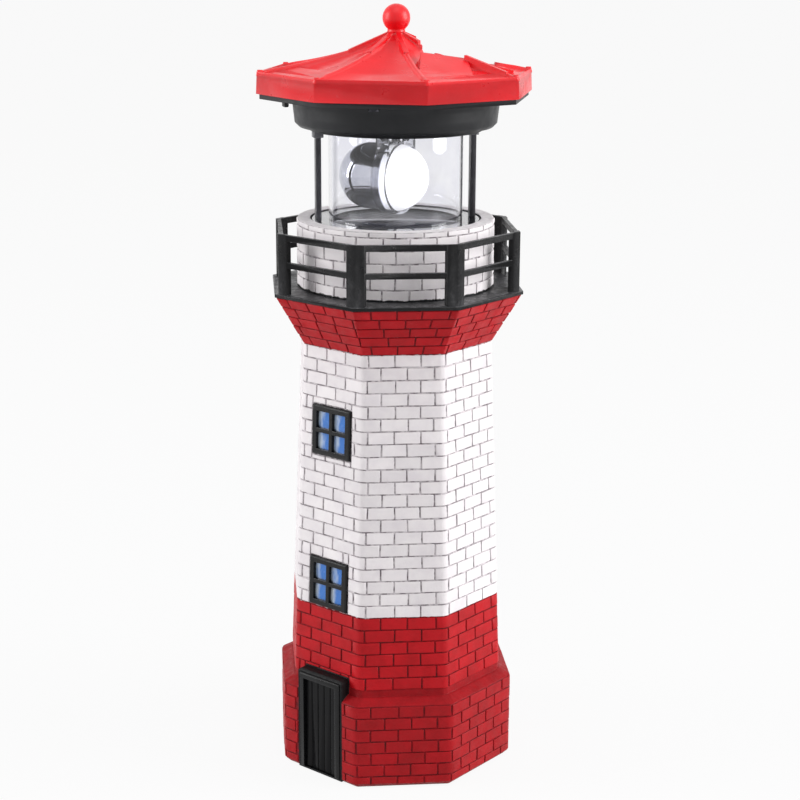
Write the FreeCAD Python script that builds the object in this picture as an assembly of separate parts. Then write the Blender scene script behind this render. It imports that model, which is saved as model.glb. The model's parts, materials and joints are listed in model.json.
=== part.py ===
import FreeCAD, Part
import math
import os
from FreeCAD import Vector

# Garden lighthouse ornament: a hollow cast tower with a lift-out solar lantern
# that turns a beacon lamp inside a clear tube.
# Millimetres. Origin at the centre of the underside, +Z up, door facing -Y.
# Octagon radii are measured to the corners. Degrees are counted from +X
# towards +Y. In the lantern, +X is the way the solar panel faces.

cos_half = math.cos(math.radians(22.5))
past = 1.0                         # how far a cutting shape runs past a face
bite = 0.5                         # how far a fused shape runs into its neighbour

# ---- tower casting, laid out in brick courses ----
course = 5.93                      # height of one course
plinth_courses = 7
shaft_courses = 28
corbel_height = 22.9
shaft_bottom_radius = 53.4
shaft_top_radius = 46.7
shaft_corner_bevel = 1.2
plinth_step = 5.6                  # how far the plinth stands outside the shaft
plinth_corner_round = 4.0
plinth_foot_chamfer = 2.0
ledge_rise = 2.6                   # slope of the plinth's top, up to the shaft
ledge_width = 5.0
drum_radius = 45.5
drum_height = 32.7
gallery_width = 10.5               # from the drum to the corbel's flat faces
tower_wall = 4.6
drum_wall = 7.5
drum_rim_wall = 5.8                # wall round the seat that the lantern drops into
seat_depth = 7.7
seat_ledge_width = 6.7
seat_ledge_height = 6.5

plinth_radius = shaft_bottom_radius + plinth_step
plinth_face = plinth_radius * cos_half
plinth_top_z = plinth_courses * course
corbel_bottom_z = plinth_top_z + shaft_courses * course
corbel_top_z = corbel_bottom_z + corbel_height
corbel_radius = (drum_radius + gallery_width) / cos_half
drum_top_z = corbel_top_z + drum_height
seat_radius = drum_radius - drum_rim_wall
seat_z = drum_top_z - seat_depth

# ---- door and windows, all on the -Y side ----
doorcase_width = 27.5
doorcase_height = 51.5
doorcase_foot_z = 0.6
doorcase_chamfer = 1.0
doorcase_depth_in = 3.0            # how far it runs into the shaft's face
door_width = 25.0
door_height = 48.6
door_sill_z = 1.4
door_frame_bar = 2.6
door_frame_depth = 3.4
door_recess = 2.6
door_leaf_depth = 1.6
door_leaf_gap = 0.05
door_plank_count = 5
door_groove = 0.5
window_width = 23.0
window_height = 23.5
window_frame_bar = 2.7
window_cross_bar = 1.9
window_frame_depth = 2.6
window_recess = 1.2
window_rebate = 0.6
frame_round = 0.5
frame_gap = 0.1                    # between an inset frame and the casting
pane_depth = 1.0
pane_gap = 0.05
upper_window_drop = 38.9           # window centres, from the corbel and the plinth
lower_window_rise = 53.9

upper_window_z = corbel_bottom_z - upper_window_drop
lower_window_z = plinth_top_z + lower_window_rise

# ---- gallery railing ----
deck_overhang = 1.0
deck_thickness = 1.5
deck_gap = 0.15                    # between the deck ring and the drum
rail_inset = 2.6                   # rail corners inside the deck's corners
rail_depth = 2.0
top_rail = (24.5, 2.8)             # lower edge above the deck, height
mid_rail = (12.2, 2.6)
post_width = 8.4
post_proud = 0.7

deck_radius = corbel_radius + deck_overhang
deck_top_z = corbel_top_z + deck_thickness
rail_radius = deck_radius - rail_inset
rail_inner_radius = rail_radius - rail_depth

# ---- lantern: floor disc, clear tube, two posts ----
lantern_heading = 52.0             # the solar panel's way out
floor_gap = 0.7                    # round the floor disc in its seat
floor_flange = 1.8
floor_wall = 1.8
floor_drop = 1.2                   # top of the floor below the drum's top
boss_gap = 1.1                     # between the raised floor and the tube
flange_drop = 0.6                  # top of the tube's flange below the drum's top
flange_width = 7.8
flange_inset = 0.9
flange_thickness = 1.8
flange_skirt = 1.6
flange_gap = 0.3                   # between the tube's skirt and the floor disc
tube_wall = 1.3
post_inset = 2.4                   # post centres inside the flange's edge
post_thickness = 2.4
post_breadth = 4.4
post_clip = (4.6, 6.4, 3.0)        # radial, along the rim, high
clip_round = 0.7

floor_top_z = drum_top_z - floor_drop
flange_top_z = drum_top_z - flange_drop
flange_radius = seat_radius - flange_inset
tube_radius = flange_radius - flange_width
tube_inner = tube_radius - tube_wall
post_ring_radius = flange_radius - post_inset

# ---- beacon lamp: round-backed reflector, domed lens, hanging fork ----
beacon_heading = 10.0              # way the lamp points at rest
lamp_radius = 15.4
lamp_foot_gap = 4.2
lamp_head_gap = 6.1
lamp_back_gap = 1.3                # between the reflector's back and the tube
reflector_wall = 1.1
rim_gap = 0.2                      # reflector and lens each stop this far from the axis
bezel_width = 7.0
bezel_thickness = 1.4
bezel_gap = 0.05
lens_pocket_depth = 4.0            # below the lamp's centre, room for the glowing tip
fork_spread = 12.0
fork_width = 5.8
fork_thickness = 2.2
fork_foot = 5.0                    # prong ends above the lamp's centre, inside the ring
turntable_radius = 21.0
turntable_thickness = 1.8
turntable_gap = 0.6
spindle_radius = 3.5
spindle_bore = 2.35
stem_radius = 2.0
stem_bore = 1.2
stem_hole_radius = 3.05
stem_flange = (2.0, 1.0)           # width past the stem, thickness
led_radius = 2.5
led_length = 8.6
led_rim_radius = 2.9
led_rim = 1.0
led_drop = 3.0                     # lamp's top sits this much under its own length
lead_radius = 0.35
lead_pitch = 1.2
lead_end = 2.5                     # how far the leads stand above the gear plate

beacon_z = floor_top_z + lamp_foot_gap + lamp_radius
reflector_back = tube_inner - lamp_back_gap - lamp_radius
turntable_low_z = beacon_z + lamp_radius + lamp_head_gap
turntable_top_z = turntable_low_z + turntable_thickness
led_top_z = beacon_z + led_length - led_drop

# ---- mechanism housing: cup, collar and the plate under the roof ----
cup_height = 12.8
cup_bottom_radius = 46.4
cup_flare = 1.3
cup_wall = 2.2
cup_floor = 2.0
cup_edge_bevel = 1.8
collar_radius = 39.6
collar_depth = 1.8
tube_groove_depth = 2.6
tube_groove_gap = 0.25
groove_land = 3.0                  # between the tube's groove and the inner recess
plate_thickness = 2.3
plate_radius = 62.8

cup_bottom_z = turntable_top_z + turntable_gap
cup_top_radius = cup_bottom_radius + cup_flare
cup_floor_z = cup_bottom_z + cup_floor
collar_bottom_z = cup_bottom_z - collar_depth
plate_bottom_z = cup_bottom_z + cup_height
plate_top_z = plate_bottom_z + plate_thickness

# ---- roof ----
eave_proud = 1.5                   # roof corners outside the plate's corners
eave_lean = 0.4
eave_height = 9.0
roof_rise = 16.4
roof_sag = 2.2                     # how far each face dips under a straight slope
roof_wall = 1.9
lip_height = 0.8
lip_width = 1.1
lip_proud = 0.1
rib_rise = 1.2
rib_root = 1.2                     # how deep a rib reaches into the roof
rib_width = 3.0
rib_chamfer = 0.8
rib_near = 2.5
corner_knob = (1.8, 1.2, 2.6)      # radius at the foot and top, height over the eave
corner_knob_inset = 1.5
hub_radius = 4.6
hub_rise = 1.2
finial_radius = 6.3
finial_rise = 6.5
finial_neck = (4.2, 3.7, 3.0)      # radius at the foot and top, height
finial_stud_radius = 2.2
finial_stud_length = 5.0
stud_gap = 0.05
screw_angles = (67.5, 157.5, 247.5, 337.5)
screw_inset = 6.0                  # screw centres inside the plate's flat faces
screw_boss_radius = 3.0
screw_radius = 1.3
screw_clearance = 0.2
screw_fit = 0.02
screw_head_radius = 2.5
screw_head_height = 1.5
screw_length = 8.0

eave_bottom_radius = plate_radius + eave_proud
eave_top_radius = eave_bottom_radius - eave_lean
eave_face = eave_top_radius * cos_half
eave_top_z = plate_top_z + eave_height
roof_peak_z = eave_top_z + roof_rise
hub_top_z = roof_peak_z + hub_rise
finial_centre_z = hub_top_z + finial_rise
screw_ring_radius = plate_radius * cos_half - screw_inset

# ---- solar panel and its pocket in the roof ----
pocket_near = 9.0                  # distances from the axis along the heading
pocket_far_margin = 13.0           # from the pocket's far side to the eave
pocket_width = 50.0
pocket_slope = 0.18
pocket_sink = 1.7                  # glass below the roof's slope at its middle
pocket_floor = 1.8
pocket_side_wall = 2.0
panel_gap = 0.3
seal_thickness = 0.5
seal_width = 2.0
panel_board = 1.2
cell_thickness = 0.35
panel_cover = 0.4
cell_count = 5
cell_gap = 0.6
cell_border = 1.8
lead_hole_radius = 1.5
lead_hole_inset = 8.0

pocket_far = eave_face - pocket_far_margin
pocket_middle = (pocket_near + pocket_far) / 2

# ---- battery, a standard AA cell lying in an open tray ----
battery_radius = 7.25
battery_length = 49.2
battery_edge = 0.5
battery_button = (2.7, 1.3)        # radius, height
battery_offset = -21.2             # centre line, along the heading
battery_gap = 0.25
holder_wall = 1.2
holder_height = 9.0
contact_thickness = 0.4
contact_width = 9.0
contact_space = 3.0                # room for a bent contact at each end
contact_nose = (5.0, 4.0)          # width, half height

# ---- gear train: gears under a plate, motor on top of it ----
gear_module = 0.6
drive_teeth = 36                   # gear on the beacon's spindle
idler_pinion_teeth = 12
idler_wheel_teeth = 30
motor_pinion_teeth = 12
pressure_angle = 20.0
tooth_addendum = 0.78              # in modules
tooth_dedendum = 1.0
tooth_backlash = 0.10
gear_thickness = 3.0
wheel_thickness = 2.4
layer_gap = 0.5
idler_angle = 50.0                 # from the heading, seen from above
motor_angle = 20.0
washer_thickness = 0.5
washer_radius = 6.0
washer_gap = 0.2
running_gap = 0.05
axle_radius = 1.0
gear_plate_thickness = 1.5
gear_plate_gap = 0.7
gear_plate_near = (-8.5, -8.0)     # corner beyond the spindle
gear_plate_margin = 3.0            # from the motor to the plate's far edges
gear_plate_bevel = 2.0
pillar_radius = 2.2
pillar_inset = 3.3
pillar_bore = 0.8
pillar_screw_head = (1.7, 1.2)     # radius, height
pillar_screw_foot = 0.3
motor_radius = 6.0
motor_height = 11.0
motor_shaft_radius = 0.75
motor_shaft_depth = 3.0
motor_shaft_foot = 0.3
motor_shaft_end_gap = 0.2
motor_neck_radius = 2.2
motor_neck = 0.8

gear_low_z = cup_floor_z + washer_thickness
gear_top_z = gear_low_z + gear_thickness
wheel_low_z = gear_top_z + layer_gap
wheel_top_z = wheel_low_z + wheel_thickness
gear_plate_z = wheel_top_z + gear_plate_gap
gear_plate_top_z = gear_plate_z + gear_plate_thickness

# ---- electronics ----
board_box = (-8.0, -34.0, 20.0, -12.0)
board_thickness = 1.2
board_lift = 4.5
board_boss_radius = 2.2
board_boss_inset = 3.0
chip_size = (5.0, 4.0, 1.5)
chip_place = (0.35, 0.6)           # shares of the board's two sides
coil_radius = 3.4
coil_height = 4.2
coil_waist = (0.7, 0.9)            # depth of the winding, thickness of each flange
coil_place = (0.72, 0.4)
capacitor_radius = 2.5
capacitor_height = 6.0
capacitor_place = (0.2, 0.25)
switch_angle = -167.0
switch_outset = 6.5                # switch centre outside the cup
switch_body = (5.0, 8.6, 3.6)
switch_roof = 0.8
switch_play = 0.3
knob_size = (2.0, 3.0)             # radial, along the slot
knob_drop = 2.6
knob_round = 0.4
switch_travel = 2.5
switch_slot_gap = 0.35

switch_ring_radius = cup_top_radius + switch_outset
board_z = cup_floor_z + board_lift
board_top_z = board_z + board_thickness


# ---------------------------------------------------------------- helpers
def turned(shape, angle):
    """Copy of a shape turned about the Z axis."""
    copy = shape.copy()
    copy.rotate(Vector(0, 0, 0), Vector(0, 0, 1), angle)
    return copy


def moved(shape, x, y, z):
    copy = shape.copy()
    copy.translate(Vector(x, y, z))
    return copy


def polar(radius, angle):
    return radius * math.cos(math.radians(angle)), radius * math.sin(math.radians(angle))


def octagon_solid(levels, first_corner=22.5):
    """Flat-faced solid through octagons; levels is a list of (radius, z)."""
    rows = [[Vector(*polar(radius, first_corner + 45 * k), z) for k in range(8)]
            for radius, z in levels]
    outlines = [rows[0][::-1], rows[-1]]
    for low, high in zip(rows, rows[1:]):
        outlines += [[low[k - 1], low[k], high[k], high[k - 1]] for k in range(8)]
    faces = [Part.Face(Part.makePolygon(corners + corners[:1])) for corners in outlines]
    return Part.makeSolid(Part.makeShell(faces))


def octagon_ring(outer, inner, z0, z1, first_corner=22.5):
    return octagon_solid([(outer, z0), (outer, z1)], first_corner).cut(
        octagon_solid([(inner, z0 - past), (inner, z1 + past)], first_corner))


def cylinder(radius, z0, z1, x=0.0, y=0.0):
    return Part.makeCylinder(radius, z1 - z0, Vector(x, y, z0))


def ring(outer, inner, z0, z1, x=0.0, y=0.0):
    return cylinder(outer, z0, z1, x, y).cut(cylinder(inner, z0 - past, z1 + past, x, y))


def rod_of_flats(radius, z0, z1):
    """Slim upright rod or screw with eight flats, inside the round one it stands for."""
    return octagon_solid([(radius, z0), (radius, z1)])


def block(x0, y0, z0, x1, y1, z1):
    return Part.makeBox(x1 - x0, y1 - y0, z1 - z0, Vector(x0, y0, z0))


def revolved(outline):
    """Solid of revolution about Z; outline is a closed list of (radius, z)."""
    corners = [Vector(r, 0, z) for r, z in outline]
    face = Part.Face(Part.makePolygon(corners + [corners[0]]))
    return face.revolve(Vector(0, 0, 0), Vector(0, 0, 1), 360)


def rounded(shape, radius, chosen):
    """Fillet the edges that the test picks."""
    return shape.makeFillet(radius, [edge for edge in shape.Edges if chosen(edge)])


def chamfered(shape, size, chosen):
    """Bevel the edges that the test picks."""
    return shape.makeChamfer(size, [edge for edge in shape.Edges if chosen(edge)])


def upright(edge):
    a, b = edge.Vertexes[0].Point, edge.Vertexes[-1].Point
    return abs(a.z - b.z) > 0.3 * edge.Length


def level_at(z):
    def test(edge):
        return all(abs(v.Point.z - z) < 0.01 for v in edge.Vertexes)
    return test


def in_front_of(y):
    def test(edge):
        return all(v.Point.y < y for v in edge.Vertexes)
    return test


# ---------------------------------------------------------------- tower
def shaft_radius(z):
    """Corner radius of the tapering shaft at a height."""
    share = (z - plinth_top_z) / (corbel_bottom_z - plinth_top_z)
    return shaft_bottom_radius + share * (shaft_top_radius - shaft_bottom_radius)


def shaft_face(z):
    """Distance from the axis to a flat face of the shaft."""
    return shaft_radius(z) * cos_half


def shaft_lean():
    """Lean of a shaft face from the upright, in degrees."""
    run = shaft_face(plinth_top_z) - shaft_face(corbel_bottom_z)
    return math.degrees(math.atan2(run, corbel_bottom_z - plinth_top_z))


def tower_outside():
    plinth = octagon_solid([(plinth_radius, 0), (plinth_radius, plinth_top_z)])
    plinth = rounded(plinth, plinth_corner_round, upright)
    plinth = chamfered(plinth, plinth_foot_chamfer, level_at(0))
    ledge = octagon_solid([(plinth_radius, plinth_top_z),
                           (plinth_radius - ledge_width, plinth_top_z + ledge_rise)])
    ledge = chamfered(ledge, plinth_corner_round / 2, upright)
    shaft_foot_z = plinth_top_z - course
    shaft = octagon_solid([(shaft_radius(shaft_foot_z), shaft_foot_z),
                           (shaft_top_radius, corbel_bottom_z)])
    shaft = chamfered(shaft, shaft_corner_bevel, upright)
    corbel = octagon_solid([(shaft_top_radius, corbel_bottom_z), (corbel_radius, corbel_top_z)])
    corbel = chamfered(corbel, shaft_corner_bevel, upright)
    drum = cylinder(drum_radius, corbel_top_z - past, drum_top_z)
    half = doorcase_width / 2
    doorcase = block(-half, -plinth_face, doorcase_foot_z,
                     half, -shaft_face(doorcase_height) + doorcase_depth_in, doorcase_height)
    doorcase = chamfered(doorcase, doorcase_chamfer, level_at(doorcase_height))
    return plinth.fuse([ledge, shaft, corbel, drum, doorcase])


def tower_inside():
    """Hollow of the casting, open at its foot and in the seat."""
    wall = tower_wall / cos_half
    ledge_z = seat_z - seat_ledge_height
    lower = octagon_solid([(shaft_radius(-past) - wall, -past),
                           (shaft_top_radius - wall, corbel_bottom_z)])
    neck = shaft_face(corbel_bottom_z) - tower_wall
    upper = revolved([(0, corbel_bottom_z - past), (neck, corbel_bottom_z - past),
                      (neck, corbel_bottom_z), (drum_radius - drum_wall, corbel_top_z),
                      (drum_radius - drum_wall, ledge_z), (0, ledge_z)])
    throat = cylinder(seat_radius - seat_ledge_width, ledge_z - past, seat_z + past)
    seat = cylinder(seat_radius, seat_z, drum_top_z + past)
    return lower.fuse([upper, throat, seat])


def on_face(shape, z):
    """Lay a shape, drawn round the origin in the XZ plane, on the leaning face."""
    copy = shape.copy()
    copy.rotate(Vector(0, 0, 0), Vector(1, 0, 0), -shaft_lean())
    copy.translate(Vector(0, -shaft_face(z), z))
    return copy


def door_opening():
    half = door_width / 2 + frame_gap
    return block(-half, -plinth_face - past, door_sill_z - frame_gap,
                 half, -plinth_face + door_recess, door_sill_z + door_height + frame_gap)


def window_opening(z):
    half_w = window_width / 2 + frame_gap
    half_h = window_height / 2 + frame_gap
    return on_face(block(-half_w, -window_frame_depth, -half_h, half_w, window_recess, half_h), z)


def tower_casting():
    body = tower_outside().cut(tower_inside())
    cuts = [door_opening(), window_opening(upper_window_z), window_opening(lower_window_z)]
    return body.cut(cuts).removeSplitter()


def door_frame():
    half = door_width / 2
    back = -plinth_face + door_recess
    front = back - door_frame_depth
    top = door_sill_z + door_height
    frame = block(-half, front, door_sill_z, half, back, top)
    frame = chamfered(frame, frame_round, in_front_of(front + frame_round))
    inner = half - door_frame_bar
    hole = block(-inner, front - past, door_sill_z - past, inner, back + past, top - door_frame_bar)
    return frame.cut(hole)


def door_leaf():
    half = door_width / 2 - door_frame_bar - door_leaf_gap
    back = -plinth_face + door_recess
    front = back - door_leaf_depth
    top = door_sill_z + door_height - door_frame_bar - door_leaf_gap
    leaf = block(-half, front, door_sill_z + frame_gap, half, back, top)
    pitch = 2 * half / door_plank_count
    grooves = []
    for k in range(1, door_plank_count):
        x = -half + pitch * k
        grooves.append(block(x - door_groove / 2, front - past, door_sill_z,
                             x + door_groove / 2, front + door_groove, top + past))
    return leaf.cut(grooves)


def window_frame(z):
    half_w, half_h = window_width / 2, window_height / 2
    front = window_recess - window_frame_depth
    frame = block(-half_w, front, -half_h, half_w, window_recess, half_h)
    frame = chamfered(frame, frame_round, in_front_of(front + frame_round))
    inner_w, inner_h = half_w - window_frame_bar, half_h - window_frame_bar
    bar = window_cross_bar / 2
    lights = []
    for side in (-1, 1):
        for level in (-1, 1):
            x0, x1 = sorted((side * bar, side * inner_w))
            z0, z1 = sorted((level * bar, level * inner_h))
            lights.append(block(x0, front - past, z0, x1, window_recess + past, z1))
    rebate_w, rebate_h = inner_w + window_rebate, inner_h + window_rebate
    rebate = block(-rebate_w, window_recess - pane_depth, -rebate_h,
                   rebate_w, window_recess + past, rebate_h)
    return on_face(frame.cut(lights + [rebate]), z)


def window_glazing(z):
    half_w = window_width / 2 - window_frame_bar + window_rebate - pane_gap
    half_h = window_height / 2 - window_frame_bar + window_rebate - pane_gap
    return on_face(block(-half_w, window_recess - pane_depth, -half_h,
                         half_w, window_recess, half_h), z)


def gallery_railing():
    """Octagonal deck ring with eight bent posts and two rails."""
    deck = octagon_solid([(deck_radius, corbel_top_z), (deck_radius, deck_top_z)])
    deck = deck.cut(cylinder(drum_radius + deck_gap, corbel_top_z - past, deck_top_z + past))
    rails = []
    for low, height in (top_rail, mid_rail):
        z0 = deck_top_z + low
        rails.append(octagon_ring(rail_radius, rail_inner_radius, z0, z0 + height))
    post_top = deck_top_z + top_rail[0] + top_rail[1]
    post_radius = rail_radius + post_proud
    band = octagon_ring(post_radius, rail_inner_radius, deck_top_z - bite, post_top)
    half = post_width / 2
    stake = block(rail_inner_radius * cos_half - past, -half, deck_top_z - bite,
                  post_radius + past, half, post_top)
    stakes = [turned(stake, 22.5 + 45 * k) for k in range(8)]
    posts = band.common(stakes[0].fuse(stakes[1:]))
    return deck.fuse(rails + [posts]).removeSplitter()


# ---------------------------------------------------------------- lantern
def in_lantern(shape):
    """Lantern pieces are drawn with the panel towards +X, then turned."""
    return turned(shape, lantern_heading)


def lantern_floor():
    rim = seat_radius - floor_gap
    top = seat_z + floor_flange
    boss = tube_inner - boss_gap
    ceiling = floor_top_z - floor_wall
    return revolved([(boss - floor_wall, seat_z), (rim, seat_z), (rim, top), (boss, top),
                     (boss, floor_top_z), (0, floor_top_z), (0, ceiling),
                     (boss - floor_wall, ceiling)])


def clear_tube():
    under = flange_top_z - flange_thickness
    skirt = flange_radius - flange_skirt
    skirt_foot = seat_z + floor_flange + flange_gap
    top = collar_bottom_z + tube_groove_depth - tube_groove_gap
    return revolved([(tube_inner, under), (skirt, under), (skirt, skirt_foot),
                     (flange_radius, skirt_foot), (flange_radius, flange_top_z),
                     (tube_radius, flange_top_z), (tube_radius, top), (tube_inner, top)])


def lantern_posts():
    """Two flat struts, one each side, with a clip block under the collar."""
    deep, wide, high = post_clip
    strut = block(post_ring_radius - post_thickness / 2, -post_breadth / 2, flange_top_z,
                  post_ring_radius + post_thickness / 2, post_breadth / 2, collar_bottom_z)
    clip = block(post_ring_radius - deep / 2, -wide / 2, collar_bottom_z - high,
                 post_ring_radius + deep / 2, wide / 2, collar_bottom_z)
    post = strut.fuse(chamfered(clip, clip_round, upright))
    return in_lantern(Part.makeCompound([post, turned(post, 180)]))


# ---------------------------------------------------------------- mechanism housing
def screw_places():
    return [polar(screw_ring_radius, angle) for angle in screw_angles]


def board_boss_places():
    x0, y0, x1, y1 = board_box
    inset = board_boss_inset
    return (x0 + inset, y0 + inset), (x1 - inset, y1 - inset)


def at_switch(shape):
    """Put a switch piece, drawn on the +X side, at the switch's place."""
    return turned(shape, switch_angle)


def knob_room(z0, z1):
    """Space in which the switch's knob slides."""
    deep, wide = knob_size
    half = wide / 2 + switch_slot_gap
    return block(switch_ring_radius - deep / 2 - switch_slot_gap, -half, z0,
                 switch_ring_radius + deep / 2 + switch_slot_gap, half + switch_travel, z1)


def mechanism_housing():
    cup_top = plate_bottom_z + bite
    cup = revolved([(0, cup_bottom_z), (cup_bottom_radius - cup_edge_bevel, cup_bottom_z),
                    (cup_bottom_radius, cup_bottom_z + cup_edge_bevel),
                    (cup_top_radius, cup_top), (0, cup_top)])
    plate = octagon_solid([(plate_radius, plate_bottom_z), (plate_radius, plate_top_z)], 0)
    collar = cylinder(collar_radius, collar_bottom_z, cup_bottom_z + bite)
    hollow = Part.makeCone(cup_bottom_radius - cup_wall, cup_top_radius - cup_wall,
                           plate_top_z + past - cup_floor_z, Vector(0, 0, cup_floor_z))
    groove = ring(tube_radius + tube_groove_gap, tube_inner - tube_groove_gap,
                  collar_bottom_z - past, collar_bottom_z + tube_groove_depth)
    recess = cylinder(tube_inner - groove_land, collar_bottom_z - past, cup_bottom_z)
    body = cup.fuse([plate, collar]).cut([hollow, groove, recess])
    boss = rod_of_flats(board_boss_radius, cup_floor_z - bite, board_z)
    bosses = [moved(boss, x, y, 0) for x, y in board_boss_places()]
    cuts = [cylinder(spindle_radius + running_gap, collar_bottom_z, cup_floor_z + past)]
    hole = rod_of_flats(screw_radius + screw_clearance, plate_bottom_z - past, plate_top_z + past)
    cuts += [moved(hole, x, y, 0) for x, y in screw_places()]
    cuts.append(at_switch(knob_room(plate_bottom_z - past, plate_top_z + past)))
    return in_lantern(body.fuse(bosses).cut(cuts))


def housing_screws():
    screws = []
    for x, y in screw_places():
        shank = rod_of_flats(screw_radius - screw_fit, plate_bottom_z, plate_bottom_z + screw_length)
        head = rod_of_flats(screw_head_radius, plate_bottom_z - screw_head_height, plate_bottom_z)
        screws.append(moved(shank.fuse(head), x, y, 0))
    return in_lantern(Part.makeCompound(screws))


def slide_switch():
    deep, wide, high = switch_body
    shift = switch_travel / 2
    body = block(switch_ring_radius - deep / 2, shift - wide / 2, plate_top_z,
                 switch_ring_radius + deep / 2, shift + wide / 2, plate_top_z + high)
    room = knob_room(plate_top_z - past, plate_top_z + high - switch_roof)
    return in_lantern(at_switch(body.cut(room)))


def switch_knob():
    deep, wide = knob_size
    foot = plate_bottom_z - knob_drop
    top = plate_top_z + switch_body[2] - switch_roof - switch_play
    knob = block(switch_ring_radius - deep / 2, -wide / 2, foot,
                 switch_ring_radius + deep / 2, wide / 2, top)
    return in_lantern(at_switch(chamfered(knob, knob_round, level_at(foot))))


# ---------------------------------------------------------------- roof
def slope_arc(x0, z0, x1, z1):
    """Hollow curve of a roof slope between two points of its section."""
    run, rise = x1 - x0, z1 - z0
    length = math.hypot(run, rise)
    dip = roof_sag if run < 0 else -roof_sag
    middle = Vector((x0 + x1) / 2 - rise / length * dip, 0, (z0 + z1) / 2 + run / length * dip)
    return Part.Arc(Vector(x0, 0, z0), middle, Vector(x1, 0, z1)).toShape()


def roof_tent(thickness, base_z):
    """Two opposite roof slopes as a long prism, a thickness inside the outer faces."""
    foot = eave_bottom_radius * cos_half - thickness
    eave = eave_face - thickness
    eave_z, peak_z = eave_top_z - thickness, roof_peak_z - thickness
    slopes = [slope_arc(eave, eave_z, 0, peak_z), slope_arc(0, peak_z, -eave, eave_z)]
    skirt = Part.makePolygon([Vector(-eave, 0, eave_z), Vector(-foot, 0, base_z),
                              Vector(foot, 0, base_z), Vector(eave, 0, eave_z)])
    face = Part.Face(Part.Wire(slopes + skirt.Edges))
    reach = 2 * eave_bottom_radius
    return moved(face.extrude(Vector(0, 2 * reach, 0)), 0, -reach, 0)


def roof_solid(thickness, base_z):
    """Eight hollow-curved slopes: the space common to four crossed tents."""
    tent = roof_tent(thickness, base_z)
    whole = turned(tent, 22.5)
    for k in range(1, 4):
        whole = whole.common(turned(tent, 22.5 + 45 * k))
    return whole


def slope_height(distance):
    """Height of a roof slope at a distance from the axis, square to its face."""
    share = distance / eave_face
    length = math.hypot(eave_face, roof_rise)
    dip = 4 * roof_sag * share * (1 - share) * length / eave_face
    return roof_peak_z - roof_rise * share - dip


def roof_rib():
    """Rib along one ridge, from the hub to the eave corner."""
    far = eave_top_radius - rib_chamfer
    distances = (rib_near, (rib_near + far) / 2, far)

    def curve(offset):
        points = [Vector(r, 0, slope_height(r * cos_half) + offset) for r in distances]
        return Part.Arc(*points).toShape()

    crest, root = curve(rib_rise), curve(-rib_root)
    ends = [Part.makeLine(crest.Vertexes[-1].Point, root.Vertexes[-1].Point),
            Part.makeLine(root.Vertexes[0].Point, crest.Vertexes[0].Point)]
    face = Part.Face(Part.Wire([crest, ends[0], root, ends[1]]))
    rib = moved(face.extrude(Vector(0, rib_width, 0)), 0, -rib_width / 2, 0)
    middle_z = slope_height(distances[1] * cos_half)
    return chamfered(rib, rib_chamfer, lambda edge: edge.Length > far / 2
                     and edge.valueAt((edge.FirstParameter + edge.LastParameter) / 2).z > middle_z)


def in_pocket(shape):
    """Shapes are drawn with z = 0 at the glass and x = 0 at the pocket's middle."""
    copy = shape.copy()
    copy.rotate(Vector(0, 0, 0), Vector(0, 1, 0), math.degrees(math.atan(pocket_slope)))
    copy.translate(Vector(pocket_middle, 0, slope_height(pocket_middle) - pocket_sink))
    return copy


def pocket_half_length():
    return (pocket_far - pocket_near) / 2 * math.hypot(1, pocket_slope)


def panel_depths():
    """Depths below the glass: cell top, board top, seal top, pocket floor."""
    board_top = panel_cover + cell_thickness
    seal_top = board_top + panel_board
    return panel_cover, board_top, seal_top, seal_top + seal_thickness


def roof_shell():
    outer = roof_solid(0, plate_top_z)
    inner = roof_solid(roof_wall, plate_top_z - past)
    lip_z = eave_top_z - past
    lip = octagon_solid([(eave_top_radius + lip_proud, lip_z),
                         (eave_top_radius, eave_top_z + lip_height)], 0)
    lip_inner = eave_top_radius - lip_width
    lip = lip.cut(octagon_solid([(lip_inner, lip_z - past), (lip_inner, roof_peak_z)], 0))
    rib = roof_rib()
    foot_radius, top_radius, knob_rise = corner_knob
    knob = octagon_solid([(foot_radius, eave_top_z - past), (top_radius, eave_top_z + knob_rise)])
    knob = moved(knob, eave_top_radius - corner_knob_inset, 0, 0)
    trim = [lip, cylinder(hub_radius, roof_peak_z - finial_stud_length, hub_top_z)]
    for k in range(8):
        trim.append(turned(rib, 45 * k))
        trim.append(turned(knob, 45 * k))
    half = pocket_half_length()
    side = pocket_width / 2
    floor = panel_depths()[-1]
    tray = block(-half - pocket_side_wall, -side - pocket_side_wall, -floor - pocket_floor,
                 half + pocket_side_wall, side + pocket_side_wall, roof_rise)
    inside = [in_pocket(tray)]
    boss = rod_of_flats(screw_boss_radius, plate_top_z, roof_peak_z)
    inside += [moved(boss, x, y, 0) for x, y in screw_places()]
    inside = [shape.common(outer) for shape in inside]
    cuts = [in_pocket(block(-half, -side, -floor, half, side, roof_rise))]
    cuts.append(in_pocket(cylinder(lead_hole_radius, -floor - pocket_floor - past, 0,
                                   lead_hole_inset - half, 0)))
    cuts.append(rod_of_flats(finial_stud_radius + stud_gap,
                             hub_top_z - finial_stud_length - past, hub_top_z + past))
    hole = rod_of_flats(screw_radius, plate_top_z - past, plate_bottom_z + screw_length)
    cuts += [moved(hole, x, y, 0) for x, y in screw_places()]
    return in_lantern(outer.cut(inner).fuse(trim + inside).cut(cuts))


def roof_finial():
    foot_radius, top_radius, height = finial_neck
    ball = Part.makeSphere(finial_radius, Vector(0, 0, finial_centre_z))
    neck = Part.makeCone(foot_radius, top_radius, height, Vector(0, 0, hub_top_z))
    stud = rod_of_flats(finial_stud_radius, hub_top_z - finial_stud_length, hub_top_z + past)
    return in_lantern(ball.fuse([neck, stud]))


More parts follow.
